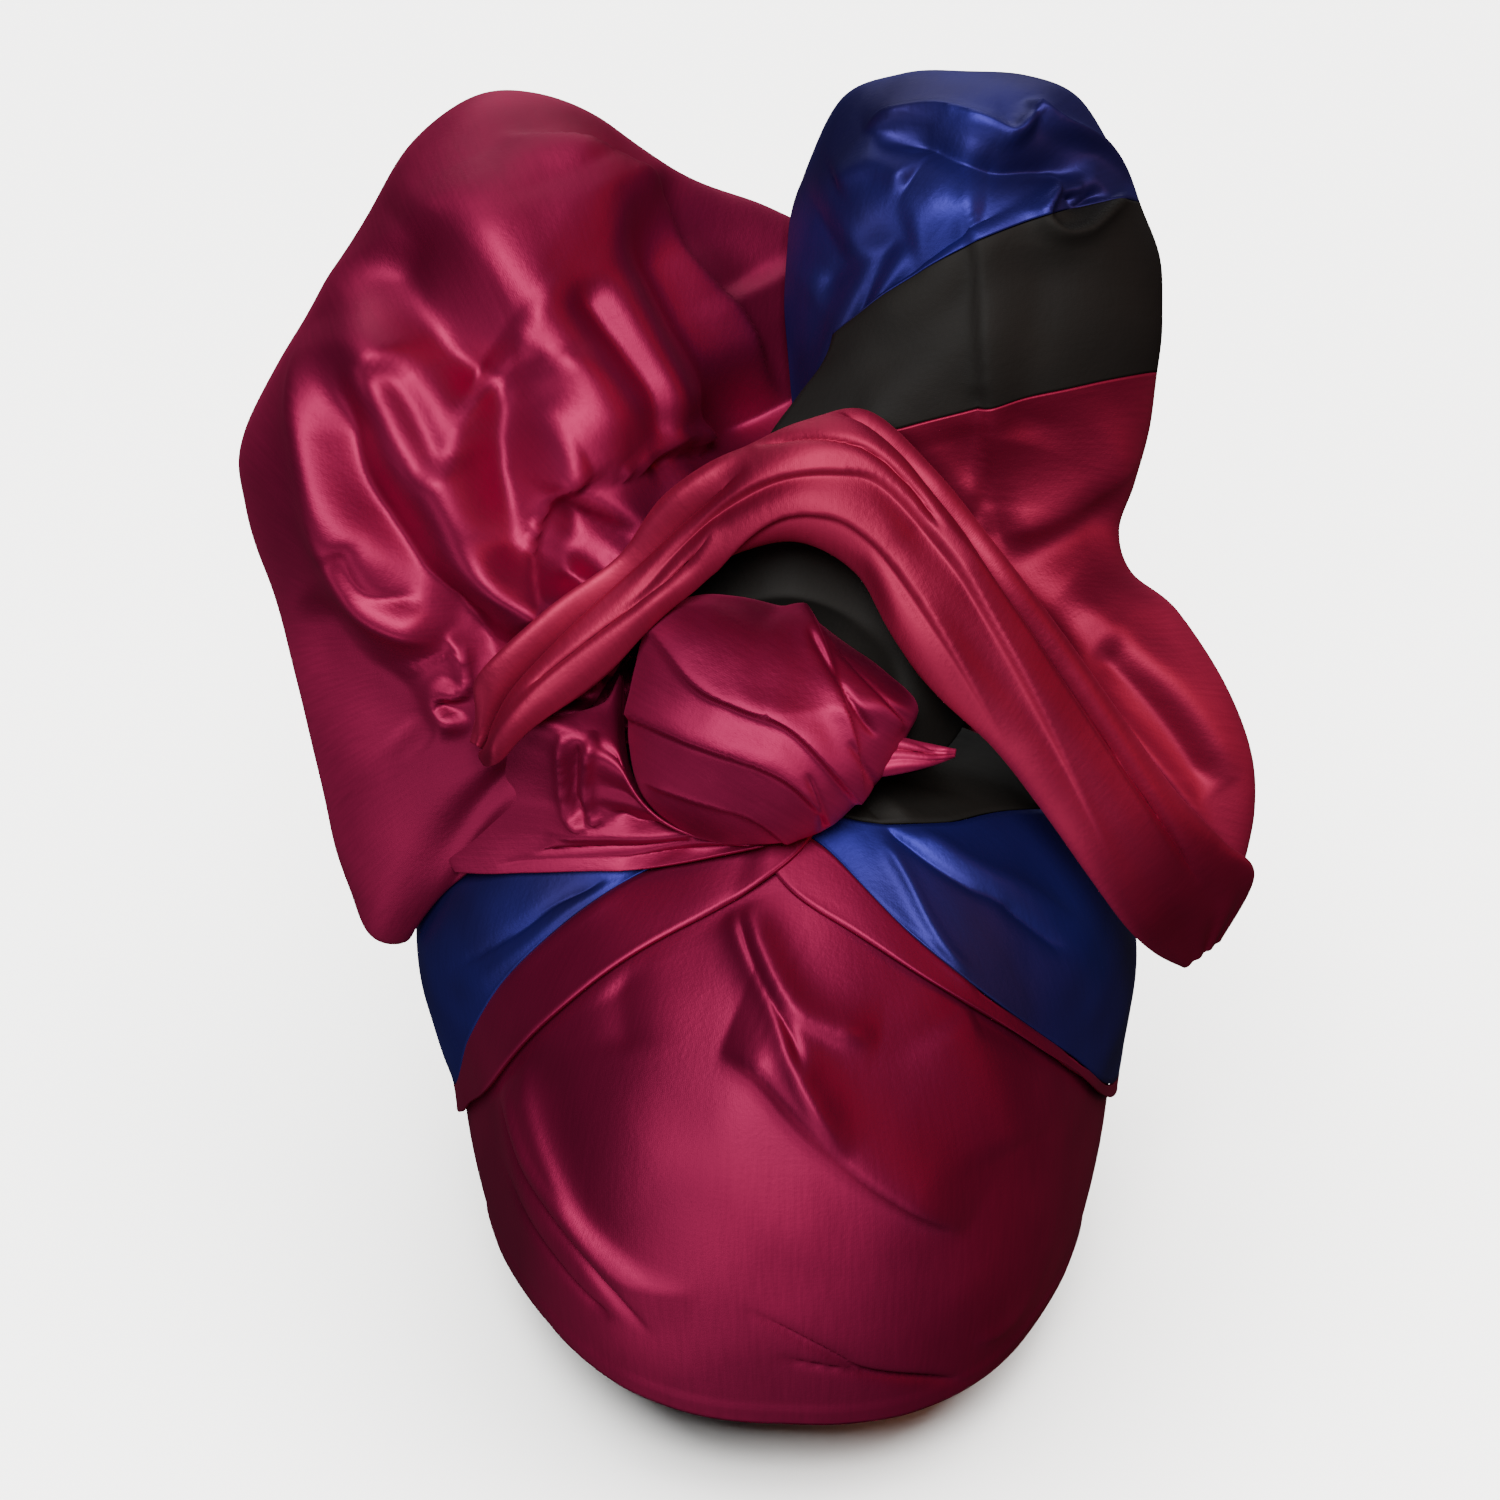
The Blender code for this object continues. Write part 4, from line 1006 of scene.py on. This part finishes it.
leftPoints = fanPoints(leftLoop, np.linspace(0, 1, leftLoop["strands"]))
leftPiece = gridPiece("leftLoopCloth", leftPoints, magentaSatin, leftLoop["wall"])
finishPiece(leftPiece, "left_loop")
strandsAt = np.concatenate([
    np.linspace(0, rightLoop["blueEnds"], rightLoop["blueStrands"])[:-1],
    np.linspace(rightLoop["blueEnds"], rightLoop["blackEnds"], rightLoop["blackStrands"])[:-1],
    np.linspace(rightLoop["blackEnds"], 1, rightLoop["redStrands"]),
])
rightPoints = fanPoints(rightLoop, strandsAt)
blueLast = rightLoop["blueStrands"] - 1
blackLast = blueLast + rightLoop["blackStrands"] - 1
for name, node, panel, material, slot in (
    ("rightLoopBlueCloth", "right_loop_blue", rightPoints[:blueLast + 1], blueSatin, "blue_satin"),
    (
        "rightLoopBlackCloth", "right_loop_black", rightPoints[blueLast:blackLast + 1],
        blackSatin, "black_satin",
    ),
    ("rightLoopRedCloth", "right_loop_red", rightPoints[blackLast:], crimsonSatin, "crimson_satin"),
):
    inset = insetEdges(panel, rightLoop["seamInset"])
    panelPiece = gridPiece(name, inset, material, rightLoop["wall"])
    finishPiece(panelPiece, node)
print("loops made")

sashGrid = sashPoints(sash)
sashPiece = gridPiece("sashCloth", sashGrid, crimsonSatin, sash["wall"], flip=True)
finishPiece(sashPiece, "sash")
tailPoints = fanPoints(tail, np.linspace(0, 1, tail["strands"]))
tailPiece = gridPiece("tailCloth", tailPoints, magentaSatin, tail["wall"])
finishPiece(tailPiece, "tail")
print("sash and tail made")


# plain pale floor and soft studio light
studio = {
    "floorColour": "#f4f3f1",
    "floorPower": 15.0,
    "floorHalfSize": 25.0,
    "worldStrength": 0.05,
    # soft box lamps: azimuth, elevation, distance, side of the box and power, in metres and watts
    "lamps": {
        "keyLight": (-5, 47, 1.8, 0.6, 43.0),
        "lowLight": (-32, -16, 0.5, 0.16, 0.7),
        "warmFill": (75, 28, 1.8, 0.8, 5.0),
        "backLight": (180, 35, 2.0, 1.4, 14.0),
    },
    "warmColour": "#ff9c70",
}
floorZ = cadBox[0][2] - 0.001
floorMesh = bpy.data.meshes.new("floor")
work = bmesh.new()
bmesh.ops.create_grid(work, x_segments=1, y_segments=1, size=studio["floorHalfSize"])
bmesh.ops.translate(work, verts=work.verts, vec=(0, 0, floorZ))
work.to_mesh(floorMesh)
work.free()
floor = bpy.data.objects.new("studioFloor", floorMesh)
bpy.context.scene.collection.objects.link(floor)
floorMaterial = bpy.data.materials.new("matt_paper_sweep")
floorMaterial.use_nodes = True
floorShader = floorMaterial.node_tree.nodes["Principled BSDF"]
floorShader.inputs["Base Color"].default_value = linearColour(studio["floorColour"])
floorShader.inputs["Roughness"].default_value = 0.9
floorMesh.materials.append(floorMaterial)
floor.visible_diffuse = False  # the bright paper doesn't throw light back up at the cloth
floor.visible_glossy = False


def areaLight(name):
    # hangs round the origin and faces it
    azimuth, elevation, distance, side, power = studio["lamps"][name]
    data = bpy.data.lights.new(name, "AREA")
    data.shape = "RECTANGLE"
    data.size = data.size_y = side
    data.energy = power
    light = bpy.data.objects.new(name, data)
    bpy.context.scene.collection.objects.link(light)
    out = Vector(direction(azimuth, elevation).tolist())
    light.location = out * distance
    light.rotation_euler = out.to_track_quat("Z", "Y").to_euler()
    light.visible_camera = False
    return light


lamps = {name: areaLight(name) for name in studio["lamps"]}
lamps["warmFill"].data.color = linearColour(studio["warmColour"])[:3]
# a lamp of its own, straight above, keeps the paper white without flattening the cloth
paperData = bpy.data.lights.new("paperLight", "SUN")
paperData.energy = studio["floorPower"]
paperData.angle = math.radians(80)
floorLight = bpy.data.objects.new("paperLight", paperData)
floorLight.location = (0.0, 0.0, 1.0)
bpy.context.scene.collection.objects.link(floorLight)
paperOnly = bpy.data.collections.new("paperOnly")
paperOnly.objects.link(floor)
floorLight.light_linking.receiver_collection = paperOnly
# and the low lamp, which hangs close to the paper, leaves it alone
notPaper = bpy.data.collections.new("notPaper")
notPaper.objects.link(floor)
notPaper.collection_objects[0].light_linking.link_state = "EXCLUDE"
lamps["lowLight"].light_linking.receiver_collection = notPaper
world = bpy.data.worlds.new("studio")
world.use_nodes = True
world.node_tree.nodes["Background"].inputs["Color"].default_value = linearColour("#f4f4f6")
world.node_tree.nodes["Background"].inputs["Strength"].default_value = studio["worldStrength"]
bpy.context.scene.world = world

# camera at the photo's angle: in front and 35 degrees up, 390 mm of width in the frame
view = {"distance": 1.6, "frameWidth": 0.39, "aimAcross": -9.6, "aimRise": 3.1}
cameraData = bpy.data.cameras.new("photoCamera")
cameraData.sensor_width = 36.0
cameraData.lens = 36.0 * view["distance"] / view["frameWidth"]
camera = bpy.data.objects.new("photoCamera", cameraData)
bpy.context.scene.collection.objects.link(camera)
aim = Vector((fromPlane(np.float64(view["aimAcross"]), np.float64(view["aimRise"]), 0.0) * mm).tolist())
outward = Vector(direction(0.0, leanAngle).tolist())
camera.location = aim + outward * view["distance"]
camera.rotation_euler = outward.to_track_quat("Z", "Y").to_euler()
bpy.context.scene.camera = camera
print("studio made")
